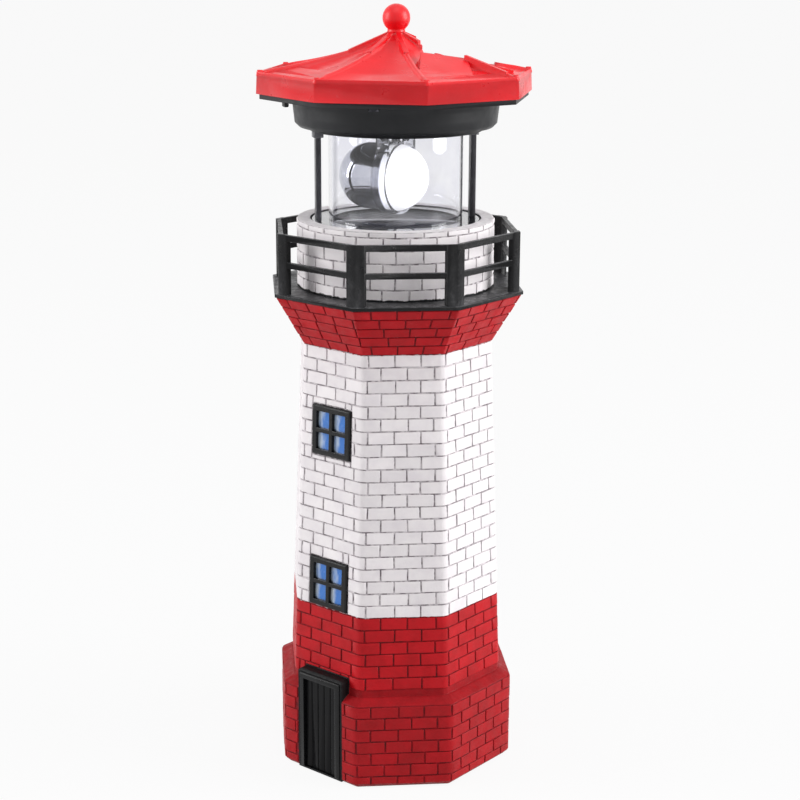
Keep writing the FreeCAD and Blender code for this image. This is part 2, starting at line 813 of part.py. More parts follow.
# ---------------------------------------------------------------- solar panel
def panel_plate(top, bottom, inset=0.0):
    """Plate that fills the pocket between two depths below the glass."""
    half = pocket_half_length() - panel_gap - inset
    side = pocket_width / 2 - panel_gap - inset
    return block(-half, -side, -bottom, half, side, -top)


def solar_panel_board():
    cell_top, board_top, seal_top, floor = panel_depths()
    return in_lantern(in_pocket(panel_plate(board_top, seal_top)))


def solar_cells():
    cell_top, board_top, seal_top, floor = panel_depths()
    half = pocket_half_length() - panel_gap - cell_border
    side = pocket_width / 2 - panel_gap - cell_border
    pitch = (2 * side + cell_gap) / cell_count
    cells = []
    for k in range(cell_count):
        y = -side + pitch * k
        cells.append(block(-half, y, -board_top, half, y + pitch - cell_gap, -cell_top))
    return in_lantern(in_pocket(Part.makeCompound(cells)))


def solar_panel_cover():
    return in_lantern(in_pocket(panel_plate(0, panel_cover)))


def solar_panel_seal():
    cell_top, board_top, seal_top, floor = panel_depths()
    hole = panel_plate(seal_top - past, floor + past, seal_width)
    return in_lantern(in_pocket(panel_plate(seal_top, floor).cut(hole)))


# ---------------------------------------------------------------- battery
def battery_z():
    return cup_floor_z + holder_wall + battery_gap + battery_radius


def holder_reach():
    """Half length of the holder's inside."""
    return battery_length / 2 + contact_space


def battery_cell():
    """Can with bevelled ends and a button, turned about its own axis."""
    half = battery_length / 2
    button, height = battery_button
    rim = battery_radius - battery_edge
    cell = revolved([(0, -half), (rim, -half), (battery_radius, battery_edge - half),
                     (battery_radius, half - battery_edge), (rim, half), (button, half),
                     (button, half + height), (0, half + height)])
    cell.rotate(Vector(0, 0, 0), Vector(1, 0, 0), -90)
    return in_lantern(moved(cell, battery_offset, 0, battery_z()))


def battery_holder():
    half = battery_radius + battery_gap
    reach = holder_reach()
    tray = block(battery_offset - half - holder_wall, -reach - holder_wall, cup_floor_z,
                 battery_offset + half + holder_wall, reach + holder_wall,
                 cup_floor_z + holder_height)
    room = block(battery_offset - half, -reach, cup_floor_z + holder_wall,
                 battery_offset + half, reach, cup_floor_z + holder_height + past)
    return in_lantern(tray.cut(room))


def battery_contact(end):
    """Strip that stands against the end wall, with a sprung nose on the cell."""
    thick = contact_thickness
    wide, rise = contact_nose
    reach = holder_reach()
    z = battery_z()
    touch = battery_length / 2 + (battery_button[1] if end > 0 else 0)
    strip = block(battery_offset - contact_width / 2, reach - thick, cup_floor_z + holder_wall,
                  battery_offset + contact_width / 2, reach, z + rise)
    x = battery_offset - wide / 2
    outline = [Vector(x, reach - thick, z + rise), Vector(x, touch, z),
               Vector(x, reach - thick, z - rise), Vector(x, reach - thick, z - rise + thick),
               Vector(x, touch + thick, z), Vector(x, reach - thick, z + rise - thick)]
    nose = Part.Face(Part.makePolygon(outline + [outline[0]])).extrude(Vector(wide, 0, 0))
    strip = strip.fuse(nose)
    if end < 0:
        strip = strip.mirror(Vector(0, 0, 0), Vector(0, 1, 0))
    return in_lantern(strip)


# ---------------------------------------------------------------- gear train
def idler_place():
    return polar(gear_module * (drive_teeth + idler_pinion_teeth) / 2, idler_angle)


def motor_place():
    x, y = idler_place()
    dx, dy = polar(gear_module * (idler_wheel_teeth + motor_pinion_teeth) / 2, motor_angle)
    return x + dx, y + dy


def gear_plate_box():
    """Corners of the gear plate, with room for the motor."""
    x, y = motor_place()
    reach = motor_radius + gear_plate_margin
    return gear_plate_near[0], gear_plate_near[1], x + reach, y + reach


def pillar_places():
    x0, y0, x1, y1 = gear_plate_box()
    near, low = x0 + pillar_inset, y0 + pillar_inset
    far, high = x1 - pillar_inset, y1 - pillar_inset
    return (far, low), (far, high), (near, high)


def roll_angle(base, radius):
    """Turn of an involute from where it leaves its base circle, in radians."""
    if radius <= base:
        return 0.0
    roll = math.sqrt((radius / base) ** 2 - 1)
    return roll - math.atan(roll)


def spur_gear(teeth, thickness, z, tooth_at):
    """Involute gear at the origin with one tooth centred on an angle in degrees."""
    pitch = gear_module * teeth / 2
    base = pitch * math.cos(math.radians(pressure_angle))
    half_at_pitch = (math.pi * gear_module / 2 - tooth_backlash) / 2 / pitch
    half_at_base = half_at_pitch + roll_angle(base, pitch)
    radii = (pitch - tooth_dedendum * gear_module, pitch, pitch + tooth_addendum * gear_module)
    halves = [half_at_base - roll_angle(base, radius) for radius in radii]
    outline = []
    for k in range(teeth):
        centre = math.radians(tooth_at) + 2 * math.pi * k / teeth
        outline += [(radius, centre - half) for radius, half in zip(radii, halves)]
        outline += [(radius, centre + half) for radius, half in zip(radii[::-1], halves[::-1])]
    corners = [Vector(r * math.cos(a), r * math.sin(a), z) for r, a in outline]
    return Part.Face(Part.makePolygon(corners + [corners[0]])).extrude(Vector(0, 0, thickness))


def drive_gear():
    gear = spur_gear(drive_teeth, gear_thickness, gear_low_z, idler_angle)
    bore = cylinder(spindle_radius + running_gap, gear_low_z - past, gear_top_z + past)
    return in_lantern(gear.cut(bore))


def idler_gear():
    """Small pinion and large wheel in one moulding, meshing at two heights."""
    x, y = idler_place()
    gap_at = idler_angle + 180 + 180 / idler_pinion_teeth
    pinion = spur_gear(idler_pinion_teeth, wheel_low_z - gear_low_z, gear_low_z, gap_at)
    wheel = spur_gear(idler_wheel_teeth, wheel_thickness, wheel_low_z, motor_angle)
    bore = cylinder(axle_radius + running_gap, gear_low_z - past, wheel_top_z + past)
    return in_lantern(moved(pinion.fuse(wheel).cut(bore), x, y, 0))


def motor_pinion():
    x, y = motor_place()
    gap_at = motor_angle + 180 + 180 / motor_pinion_teeth
    gear = spur_gear(motor_pinion_teeth, wheel_thickness, wheel_low_z, gap_at)
    bore = cylinder(motor_shaft_radius, wheel_low_z - past, wheel_top_z + past)
    return in_lantern(moved(gear.cut(bore), x, y, 0))


def motor_shaft():
    x, y = motor_place()
    return in_lantern(cylinder(motor_shaft_radius, wheel_low_z - motor_shaft_foot,
                               gear_plate_top_z + motor_shaft_depth, x, y))


def geared_motor():
    x, y = motor_place()
    foot = gear_plate_top_z
    can = cylinder(motor_radius, foot, foot + motor_height, x, y)
    neck = cylinder(motor_neck_radius, foot - motor_neck, foot + bite, x, y)
    bore = cylinder(motor_shaft_radius + running_gap, foot - motor_neck - past,
                    foot + motor_shaft_depth + motor_shaft_end_gap, x, y)
    return in_lantern(can.fuse(neck).cut(bore))


def idler_axle():
    x, y = idler_place()
    return in_lantern(cylinder(axle_radius, cup_floor_z, gear_plate_z, x, y))


def thrust_washer():
    return ring(washer_radius, spindle_radius + washer_gap, cup_floor_z, gear_low_z)


def gear_plate():
    """Plate on three pillars, over the gears and under the motor."""
    x0, y0, x1, y1 = gear_plate_box()
    plate = block(x0, y0, gear_plate_z, x1, y1, gear_plate_top_z)
    plate = chamfered(plate, gear_plate_bevel, upright)
    pillar = rod_of_flats(pillar_radius, cup_floor_z, gear_plate_z + bite)
    pillars = [moved(pillar, x, y, 0) for x, y in pillar_places()]
    x, y = motor_place()
    cuts = [cylinder(motor_neck_radius + running_gap, gear_plate_z - past,
                     gear_plate_top_z + past, x, y)]
    cuts.append(cylinder(stem_radius + stud_gap, gear_plate_z - past, gear_plate_top_z + past))
    bore = rod_of_flats(pillar_bore, cup_floor_z - past, gear_plate_top_z + past)
    cuts += [moved(bore, px, py, 0) for px, py in pillar_places()]
    return in_lantern(plate.fuse(pillars).cut(cuts))


def gear_plate_screws():
    head_radius, head_height = pillar_screw_head
    screws = []
    for x, y in pillar_places():
        shank = rod_of_flats(pillar_bore - screw_fit, cup_floor_z + pillar_screw_foot,
                             gear_plate_top_z + bite)
        head = rod_of_flats(head_radius, gear_plate_top_z, gear_plate_top_z + head_height)
        screws.append(moved(shank.fuse(head), x, y, 0))
    return in_lantern(Part.makeCompound(screws))


# ---------------------------------------------------------------- electronics
def board_point(share_x, share_y):
    x0, y0, x1, y1 = board_box
    return x0 + share_x * (x1 - x0), y0 + share_y * (y1 - y0)


def circuit_board():
    x0, y0, x1, y1 = board_box
    return in_lantern(block(x0, y0, board_z, x1, y1, board_top_z))


def driver_chip():
    x, y = board_point(*chip_place)
    long, wide, high = chip_size
    return in_lantern(block(x - long / 2, y - wide / 2, board_top_z,
                            x + long / 2, y + wide / 2, board_top_z + high))


def driver_coil():
    x, y = board_point(*coil_place)
    depth, flange = coil_waist
    top = board_top_z + coil_height
    winding = rod_of_flats(coil_radius - depth, board_top_z, top)
    flanges = [rod_of_flats(coil_radius, board_top_z, board_top_z + flange),
               rod_of_flats(coil_radius, top - flange, top)]
    return in_lantern(moved(winding.fuse(flanges), x, y, 0))


def driver_capacitor():
    x, y = board_point(*capacitor_place)
    return in_lantern(cylinder(capacitor_radius, board_top_z, board_top_z + capacitor_height, x, y))


# ---------------------------------------------------------------- beacon
def in_beacon(shape):
    """Beacon pieces are drawn pointing along +X at the origin, then placed."""
    return turned(moved(shape, 0, 0, beacon_z), beacon_heading)


def bullet(radius, front):
    """Rod along X with a round back, from behind the reflector to a flat front."""
    rod = Part.makeCylinder(radius, reflector_back + front, Vector(-reflector_back, 0, 0), Vector(1, 0, 0))
    back = Part.makeSphere(radius, Vector(-reflector_back, 0, 0), Vector(-1, 0, 0), 0, 90)
    return rod.fuse(back)


def stem_passage(depth=0.0):
    return cylinder(stem_hole_radius, -depth, lamp_radius + past)


def reflector():
    """Straight barrel with a round back, open to the front."""
    hollow = bullet(lamp_radius - reflector_wall, past)
    return in_beacon(bullet(lamp_radius, -rim_gap).cut([hollow, stem_passage()]))


def beacon_lens():
    """Solid dome with an upright pocket for the glowing tip."""
    dome = Part.makeSphere(lamp_radius, Vector(0, 0, 0), Vector(1, 0, 0), 0, 90)
    rear = Part.makeCylinder(lamp_radius + past, rim_gap, Vector(0, 0, 0), Vector(1, 0, 0))
    return in_beacon(dome.cut([rear, stem_passage(lens_pocket_depth)]))


def beacon_yoke():
    """Turntable, hollow spindle, two prongs and the ring that grips the lamp."""
    along = Vector(1, 0, 0)
    table = cylinder(turntable_radius, turntable_low_z, turntable_top_z)
    spindle = cylinder(spindle_radius, turntable_top_z - bite, gear_top_z)
    ring_radius = lamp_radius + bezel_thickness
    bezel = Part.makeCylinder(ring_radius, bezel_width, Vector(-bezel_width / 2, 0, beacon_z), along)
    half = fork_width / 2
    prongs = []
    for y in (-fork_spread, fork_spread):
        prongs.append(block(-half, y - fork_thickness / 2, beacon_z + fork_foot,
                            half, y + fork_thickness / 2, turntable_low_z + bite))
    bore_width = bezel_width + 2 * past
    bore = Part.makeCylinder(lamp_radius + bezel_gap, bore_width,
                             Vector(-bore_width / 2, 0, beacon_z), along)
    cuts = [bore, cylinder(spindle_bore, turntable_low_z - past, gear_top_z + past)]
    cuts.append(cylinder(stem_hole_radius, beacon_z, turntable_low_z))
    return turned(table.fuse([spindle, bezel] + prongs).cut(cuts), beacon_heading)


def led_stem():
    """Fixed tube through the hollow spindle that carries the lamp's leads."""
    width, thickness = stem_flange
    tube = cylinder(stem_radius, led_top_z, gear_plate_top_z)
    flange = cylinder(stem_radius + width, gear_plate_top_z, gear_plate_top_z + thickness)
    bore = cylinder(stem_bore, led_top_z - past, gear_plate_top_z + thickness + past)
    return tube.fuse(flange).cut(bore)


def led_lamp():
    """Domed lamp, pointing down, with its rim against the stem's foot."""
    dome_z = led_top_z - led_length + led_radius
    rim = cylinder(led_rim_radius, led_top_z - led_rim, led_top_z)
    body = cylinder(led_radius, dome_z, led_top_z)
    return rim.fuse([body, Part.makeSphere(led_radius, Vector(0, 0, dome_z))])


def led_leads():
    lead = rod_of_flats(lead_radius, led_top_z, gear_plate_top_z + lead_end)
    return Part.makeCompound([moved(lead, x, 0, 0) for x in (-lead_pitch / 2, lead_pitch / 2)])


# ---------------------------------------------------------------- all pieces
def all_pieces():
    return {
        "tower_casting": tower_casting(),
        "gallery_railing": gallery_railing(),
        "door_frame": door_frame(),
        "door_leaf": door_leaf(),
        "upper_window_frame": window_frame(upper_window_z),
        "upper_window_glazing": window_glazing(upper_window_z),
        "lower_window_frame": window_frame(lower_window_z),
        "lower_window_glazing": window_glazing(lower_window_z),
        "lantern_floor": lantern_floor(),
        "clear_tube": clear_tube(),
        "lantern_posts": lantern_posts(),
        "mechanism_housing": mechanism_housing(),
        "housing_screws": housing_screws(),
        "slide_switch": slide_switch(),
        "switch_knob": switch_knob(),
        "roof_shell": roof_shell(),
        "roof_finial": roof_finial(),
        "solar_panel_board": solar_panel_board(),
        "solar_cells": solar_cells(),
        "solar_panel_cover": solar_panel_cover(),
        "solar_panel_seal": solar_panel_seal(),
        "battery_cell": battery_cell(),
        "battery_holder": battery_holder(),
        "battery_contact_plus": battery_contact(1),
        "battery_contact_minus": battery_contact(-1),
        "drive_gear": drive_gear(),
        "idler_gear": idler_gear(),
        "idler_axle": idler_axle(),
        "motor_pinion": motor_pinion(),
        "motor_shaft": motor_shaft(),
        "geared_motor": geared_motor(),
        "thrust_washer": thrust_washer(),
        "gear_plate": gear_plate(),
        "gear_plate_screws": gear_plate_screws(),
        "circuit_board": circuit_board(),
        "driver_chip": driver_chip(),
        "driver_coil": driver_coil(),
        "driver_capacitor": driver_capacitor(),
        "beacon_yoke": beacon_yoke(),
        "reflector": reflector(),
        "beacon_lens": beacon_lens(),
        "led_stem": led_stem(),
        "led_lamp": led_lamp(),
        "led_leads": led_leads(),
    }


os.makedirs("parts", exist_ok=True)
for name, shape in all_pieces().items():
    shape.exportStep("parts/%s.step" % name)
    print("%-22s %2d solids, valid %s, %9.1f mm3" % (name, len(shape.Solids), shape.isValid(),
                                                     shape.Volume))
print("gear centres, in the lantern: idler %.4f %.4f, motor %.4f %.4f"
      % (idler_place() + motor_place()))
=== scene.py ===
import bpy
import bmesh
import json
import math
import random
from mathutils import Matrix, Vector, noise


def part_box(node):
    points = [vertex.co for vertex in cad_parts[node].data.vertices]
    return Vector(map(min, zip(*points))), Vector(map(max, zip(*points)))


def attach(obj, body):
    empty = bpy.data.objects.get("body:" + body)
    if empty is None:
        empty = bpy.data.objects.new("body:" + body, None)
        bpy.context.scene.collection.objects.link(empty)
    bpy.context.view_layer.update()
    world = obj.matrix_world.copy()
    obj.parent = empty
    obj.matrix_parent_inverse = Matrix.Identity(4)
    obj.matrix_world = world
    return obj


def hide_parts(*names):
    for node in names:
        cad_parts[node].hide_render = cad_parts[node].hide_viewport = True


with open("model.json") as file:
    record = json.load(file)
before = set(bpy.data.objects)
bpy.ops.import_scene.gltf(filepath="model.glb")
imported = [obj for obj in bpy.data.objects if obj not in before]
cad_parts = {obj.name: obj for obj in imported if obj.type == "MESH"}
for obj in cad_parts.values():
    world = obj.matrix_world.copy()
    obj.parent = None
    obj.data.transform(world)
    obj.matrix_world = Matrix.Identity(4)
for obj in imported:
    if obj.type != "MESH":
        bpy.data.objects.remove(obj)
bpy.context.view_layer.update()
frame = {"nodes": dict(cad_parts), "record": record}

# Garden lighthouse ornament: a painted resin tower of moulded bricks with a solar
# lantern on top. Sizes are in millimetres and angles in degrees, apart from the
# camera and the lamps, which are placed in metres; mm turns a size into metres.
mm = 0.001
side_angle = 45                    # of one side of an octagon
half_side = side_angle / 2         # from the middle of a side to its corner
cos_half = math.cos(math.radians(half_side))
home_body = {node: body for body, nodes in frame["record"]["behaviour"]["bodies"].items()
             for node in nodes}

# ---- sizes of the part that the finishes follow; radii are to the corners ----
course = 5.93                      # height of one course of bricks
plinth_radius = 59.0
plinth_top = 41.51
shaft_foot_radius = 53.4
shaft_top_radius = 46.7
shaft_top = 207.55
shaft_lean = 2.1
corbel_radius = 60.61
corbel_top = 230.45
drum_radius = 45.5
drum_foot = 231.0
drum_top = 263.17
front_face = 270                   # direction of the face with the door and windows
doorcase_half = 13.9               # half the width, with the joint beside it
window_half = 11.9
window_height = 23.5
window_margin = 0.4
window_middles = (168.65, 95.41)
lantern_heading = 52               # the solar panel's way out
pocket_slope = 0.18

# ---- heights where the paint changes ----
white_foot = 83.2
white_top = 207.35
red_top = 230.35
black_top = 232.85
brush_wander = 1.9                 # how far an edge painted by hand wanders


# ---------------------------------------------------------------- camera and light
camera_place = (0.5319, -0.6317, 0.3952)
camera_turn = 39.93
camera_dip = 14.93
camera_roll = 0.26
focal_length = 80.6
world_level = 0.52                 # of the light that comes from all round
floor_glow = 0.92                  # share of the floor that shows as plain white


def place_camera():
    """Camera where the photograph was taken from, as fitted to the octagons' corners."""
    lens = bpy.data.cameras.new("camera")
    lens.lens = focal_length
    lens.sensor_width = 36
    camera = bpy.data.objects.new("camera", lens)
    bpy.context.scene.collection.objects.link(camera)
    bpy.context.scene.camera = camera
    camera.location = camera_place
    level = Matrix.Rotation(math.radians(camera_turn), 4, "Z")
    down = Matrix.Rotation(math.radians(90 - camera_dip), 4, "X")
    roll = Matrix.Rotation(math.radians(camera_roll), 4, "Z")
    camera.rotation_euler = (level @ down @ roll).to_euler()


def soft_lamp(name, place, aim, size, power):
    """Rectangular lamp that faces a point."""
    light = bpy.data.lights.new(name, "AREA")
    light.shape = "RECTANGLE"
    light.size, light.size_y = size
    light.energy = power
    lamp = bpy.data.objects.new(name, light)
    bpy.context.scene.collection.objects.link(lamp)
    lamp.location = place
    lamp.rotation_euler = (Vector(aim) - Vector(place)).to_track_quat("-Z", "Y").to_euler()


def seen_rays(tree):
    """1 for rays that show the background: from the camera, mirrors and glass."""
    path = tree.nodes.new("ShaderNodeLightPath")
    first = join(tree, "MAXIMUM", path.outputs["Is Camera Ray"], path.outputs["Is Glossy Ray"])
    return join(tree, "MAXIMUM", first, path.outputs["Is Transmission Ray"])


def studio():
    """Even light from all round, three soft lamps and a floor of white paper."""
    world = bpy.data.worlds.new("studio")
    bpy.context.scene.world = world
    world.use_nodes = True
    tree = world.node_tree
    back = tree.nodes["Background"]
    back.inputs["Color"].default_value = (1, 1, 1, 1)
    tree.links.new(spread(tree, seen_rays(tree), 0, 1, world_level, 1.0),
                   back.inputs["Strength"])
    soft_lamp("right_softbox", (1.35, 0.8, 0.7), (0, 0, 0.22), (0.9, 1.3), 25)
    soft_lamp("left_softbox", (-1.25, -1.25, 0.7), (0, 0, 0.22), (0.7, 1.2), 19)
    soft_lamp("top_softbox", (0.3, -0.3, 1.5), (0, 0, 0.3), (1.0, 1.0), 3.5)
    bpy.ops.mesh.primitive_plane_add(size=60)
    floor = bpy.context.object
    floor.name = "studio_floor"
    paper = bpy.data.materials.new("studio_floor")
    paper.use_nodes = True
    tree = paper.node_tree
    sheet = tree.nodes["Principled BSDF"]
    sheet.inputs["Base Color"].default_value = colour(206, 206, 208)
    sheet.inputs["Roughness"].default_value = 0.9
    sheet.inputs["Specular IOR Level"].default_value = 0.0
    glow = tree.nodes.new("ShaderNodeEmission")
    mixed_shader(tree, spread(tree, seen_rays(tree), 0, 1, 0.0, floor_glow), sheet, glow)
    floor.data.materials.append(paper)
    settings = bpy.context.scene.view_settings
    settings.view_transform = "Standard"


# ---------------------------------------------------------------- node helpers
def colour(red, green, blue):
    """Paint as mixed on a screen, 0 to 255, as the linear colour a shader takes."""
    parts = [v / 255 for v in (red, green, blue)]
    return tuple(v / 12.92 if v <= 0.04045 else ((v + 0.055) / 1.055) ** 2.4
                 for v in parts) + (1.0,)


def feed(tree, sockets, values):
    """Link or set each socket, whichever its value asks for."""
    for socket, value in zip(sockets, values):
        if isinstance(value, bpy.types.NodeSocket):
            tree.links.new(value, socket)
        else:
            socket.default_value = value


def join(tree, operation, first, second=0.0, third=0.0):
    """Arithmetic on numbers or sockets."""
    node = tree.nodes.new("ShaderNodeMath")
    node.operation = operation
    feed(tree, node.inputs, (first, second, third))
    return node.outputs[0]


def spread(tree, value, low, high, new_low, new_high):
    """Value between two limits as a value between two others."""
    node = tree.nodes.new("ShaderNodeMapRange")
    tree.links.new(value, node.inputs["Value"])
    for name, number in (("From Min", low), ("From Max", high),
                         ("To Min", new_low), ("To Max", new_high)):
        node.inputs[name].default_value = number
    return node.outputs[0]


def above(tree, height, line, blur=0.15):
    """0 under a line on the tower and 1 over it, with a soft change."""
    return spread(tree, height, (line - blur) * mm, (line + blur) * mm, 0, 1)


def below(tree, height, line, blur=0.1):
    """1 under a line on the tower and 0 over it, with a soft change."""
    return spread(tree, height, (line - blur) * mm, (line + blur) * mm, 1, 0)


def tint(tree, share, first, second, way="MIX"):
    """Colour between two colours or sockets."""
    node = tree.nodes.new("ShaderNodeMix")
    node.data_type = "RGBA"
    node.blend_type = way
    feed(tree, (node.inputs[0], node.inputs[6], node.inputs[7]), (share, first, second))
    return node.outputs[2]


def grey(tree, value):
    """Colour with one value in all three parts."""
    node = tree.nodes.new("ShaderNodeCombineColor")
    for socket in node.inputs[:3]:
        tree.links.new(value, socket)
    return node.outputs[0]


def stored(tree, name):
    """Value that the bricks keep at their points."""
    node = tree.nodes.new("ShaderNodeAttribute")
    node.attribute_name = name
    return node.outputs["Fac"]


def position(tree):
    """X, Y and Z of a point of the part, in metres."""
    spot = tree.nodes.new("ShaderNodeTexCoord")
    parts = tree.nodes.new("ShaderNodeSeparateXYZ")
    tree.links.new(spot.outputs["Object"], parts.inputs[0])
    return parts.outputs["X"], parts.outputs["Y"], parts.outputs["Z"]


def place_on_piece(tree, stretch=(1, 1, 1)):
    """Point of a piece that a texture follows; a larger stretch narrows the pattern."""
    point = tree.nodes.new("ShaderNodeTexCoord")
    mapping = tree.nodes.new("ShaderNodeMapping")
    mapping.inputs["Scale"].default_value = stretch
    tree.links.new(point.outputs["Object"], mapping.inputs["Vector"])
    return mapping.outputs[0]


def mottle(tree, size, detail=3.0, stretch=(1, 1, 1)):
    """Noise with patches of about a size."""
    node = tree.nodes.new("ShaderNodeTexNoise")
    node.inputs["Scale"].default_value = 1 / (size * mm)
    node.inputs["Detail"].default_value = detail
    node.inputs["Roughness"].default_value = 0.55
    tree.links.new(place_on_piece(tree, stretch), node.inputs["Vector"])
    return node.outputs["Fac"]


def patches(tree, size, detail, low=0.35, high=0.65, new_low=0, new_high=1):
    """Noise with its middle range spread out between two values."""
    return spread(tree, mottle(tree, size, detail), low, high, new_low, new_high)


def ridged(tree, height, depth, strength=1.0, under=None):
    """Bump of a depth, over eased edges where those are given."""
    node = tree.nodes.new("ShaderNodeBump")
    node.inputs["Distance"].default_value = depth * mm
    node.inputs["Strength"].default_value = strength
    tree.links.new(height, node.inputs["Height"])
    if under is not None:
        tree.links.new(under, node.inputs["Normal"])
    return node.outputs[0]


def eased_edges(tree, radius):
    """Normals that run round the edges with a radius."""
    node = tree.nodes.new("ShaderNodeBevel")
    node.samples = 6
    node.inputs["Radius"].default_value = radius * mm
    return node.outputs[0]


def mixed_shader(tree, share, first, second):
    """Surface that changes from one shader to another."""
    node = tree.nodes.new("ShaderNodeMixShader")
    tree.links.new(share, node.inputs[0])
    tree.links.new(first.outputs[0], node.inputs[1])
    tree.links.new(second.outputs[0], node.inputs[2])
    tree.links.new(node.outputs[0], tree.nodes["Material Output"].inputs["Surface"])


def started(name, roughness=0.5, **plain):
    """New material and its shader; plain holds sockets set to one value."""
    material = bpy.data.materials.new(name)
    material.use_nodes = True
    shader = material.node_tree.nodes["Principled BSDF"]
    shader.inputs["Roughness"].default_value = roughness
    for socket, value in plain.items():
        shader.inputs[socket.replace("_", " ")].default_value = value
    return material, material.node_tree, shader


def dressed(tree, shader, paint, roughness=None, bumps=None):
    """Link a shader's colour, and its roughness and bumps where those are given."""
    for name, value in (("Base Color", paint), ("Roughness", roughness), ("Normal", bumps)):
        if value is not None:
            tree.links.new(value, shader.inputs[name])


# ---------------------------------------------------------------- finishes
def moulded(name, light, dark, roughness, grain=0.9, grain_depth=0.03, easing=0.25,
            patch=14.0, **plain):
    """Cast or moulded surface: two close colours in patches, fine grain, eased edges."""
    plain.setdefault("Specular_IOR_Level", 0.3)
    material, tree, shader = started(name, roughness, **plain)
    dressed(tree, shader, tint(tree, patches(tree, patch, 4), colour(*dark), colour(*light)),
            patches(tree, patch / 3, 3, 0.3, 0.7, roughness * 0.8, min(roughness * 1.25, 1)),
            ridged(tree, mottle(tree, grain, 2), grain_depth, 0.6, eased_edges(tree, easing)))
    return material


def zone_paint(tree, white, red, black, height):
    """White, red or black paint by height up the tower, with brushed edges."""
    wander = join(tree, "SUBTRACT", mottle(tree, 2.6, 3), 0.5)
    brushed = join(tree, "MULTIPLY_ADD", wander, brush_wander * mm, height)
    lower = tint(tree, above(tree, brushed, white_foot), red, white)
    middle = tint(tree, above(tree, brushed, white_top), lower, red)
    upper = tint(tree, above(tree, brushed, red_top), middle, black)
    return tint(tree, above(tree, brushed, black_top), upper, white)


def painted_bricks():
    """Brush-painted bricks; a darker wash lies in the joints and creeps over the edges. The
    plinth's bricks carry painted shade and the drum's bricks carry painted light.
    """
    material, tree, shader = started("painted_bricks", 0.5, Specular_IOR_Level=0.22)
    height = position(tree)[2]
    cloud = patches(tree, 9, 5, 0.38, 0.68)
    white = tint(tree, cloud, colour(244, 239, 240), colour(234, 228, 231))
    red = tint(tree, cloud, colour(190, 14, 26), colour(170, 10, 20))
    face = zone_paint(tree, white, red, colour(20, 21, 23), height)
    wash = zone_paint(tree, colour(150, 142, 147), colour(112, 6, 14), colour(8, 8, 9), height)
    worn = join(tree, "MULTIPLY_ADD", mottle(tree, 1.7, 3), 1.1, -0.28)
    share = join(tree, "MULTIPLY", stored(tree, "recess"), spread(tree, worn, 0, 0.6, 0.35, 1.0))
    blended = tint(tree, share, face, wash)
    bright = spread(tree, stored(tree, "tone"), 0, 1, 0.93, 1.03)
    # Painted shade: the plinth's bricks, below 44 mm, are multiplied darker.
    plinth_painted_shade = spread(tree, height, 44 * mm, 48 * mm, 0.82, 1)
    bright = join(tree, "MULTIPLY", bright, plinth_painted_shade)
    # Painted light: the drum's bricks, from 231 mm up, are multiplied brighter.
    drum_painted_light = spread(tree, height, 231 * mm, 233 * mm, 1, 1.06)
    bright = join(tree, "MULTIPLY", bright, drum_painted_light)
    lumps = join(tree, "MULTIPLY_ADD", mottle(tree, 4.5, 4), 1.0, mottle(tree, 0.8, 2))
    dressed(tree, shader, tint(tree, 1.0, blended, grey(tree, bright), "MULTIPLY"),
            patches(tree, 5, 3, 0.3, 0.7, 0.36, 0.6),
            ridged(tree, lumps, 0.16, 0.55, eased_edges(tree, 0.3)))
    return material


def hollow_of_tower(tree, x, y, height):
    """1 inside the wall, up to the drum's rim, and 0 outside it."""
    squares = join(tree, "ADD", join(tree, "POWER", x, 2.0), join(tree, "POWER", y, 2.0))
    out = join(tree, "SQRT", squares)
    taper = spread(tree, height, 44 * mm, 207 * mm, 46.5 * mm, 40.6 * mm)
    flare = spread(tree, height, 207 * mm, 231 * mm, 0, 10 * mm)
    in_drum = spread(tree, height, 231 * mm, 231.2 * mm, 0, -8.0 * mm)
    wall = join(tree, "ADD", join(tree, "ADD", taper, flare), in_drum)
    return join(tree, "MULTIPLY", join(tree, "LESS_THAN", out, wall), below(tree, height, 262.9))


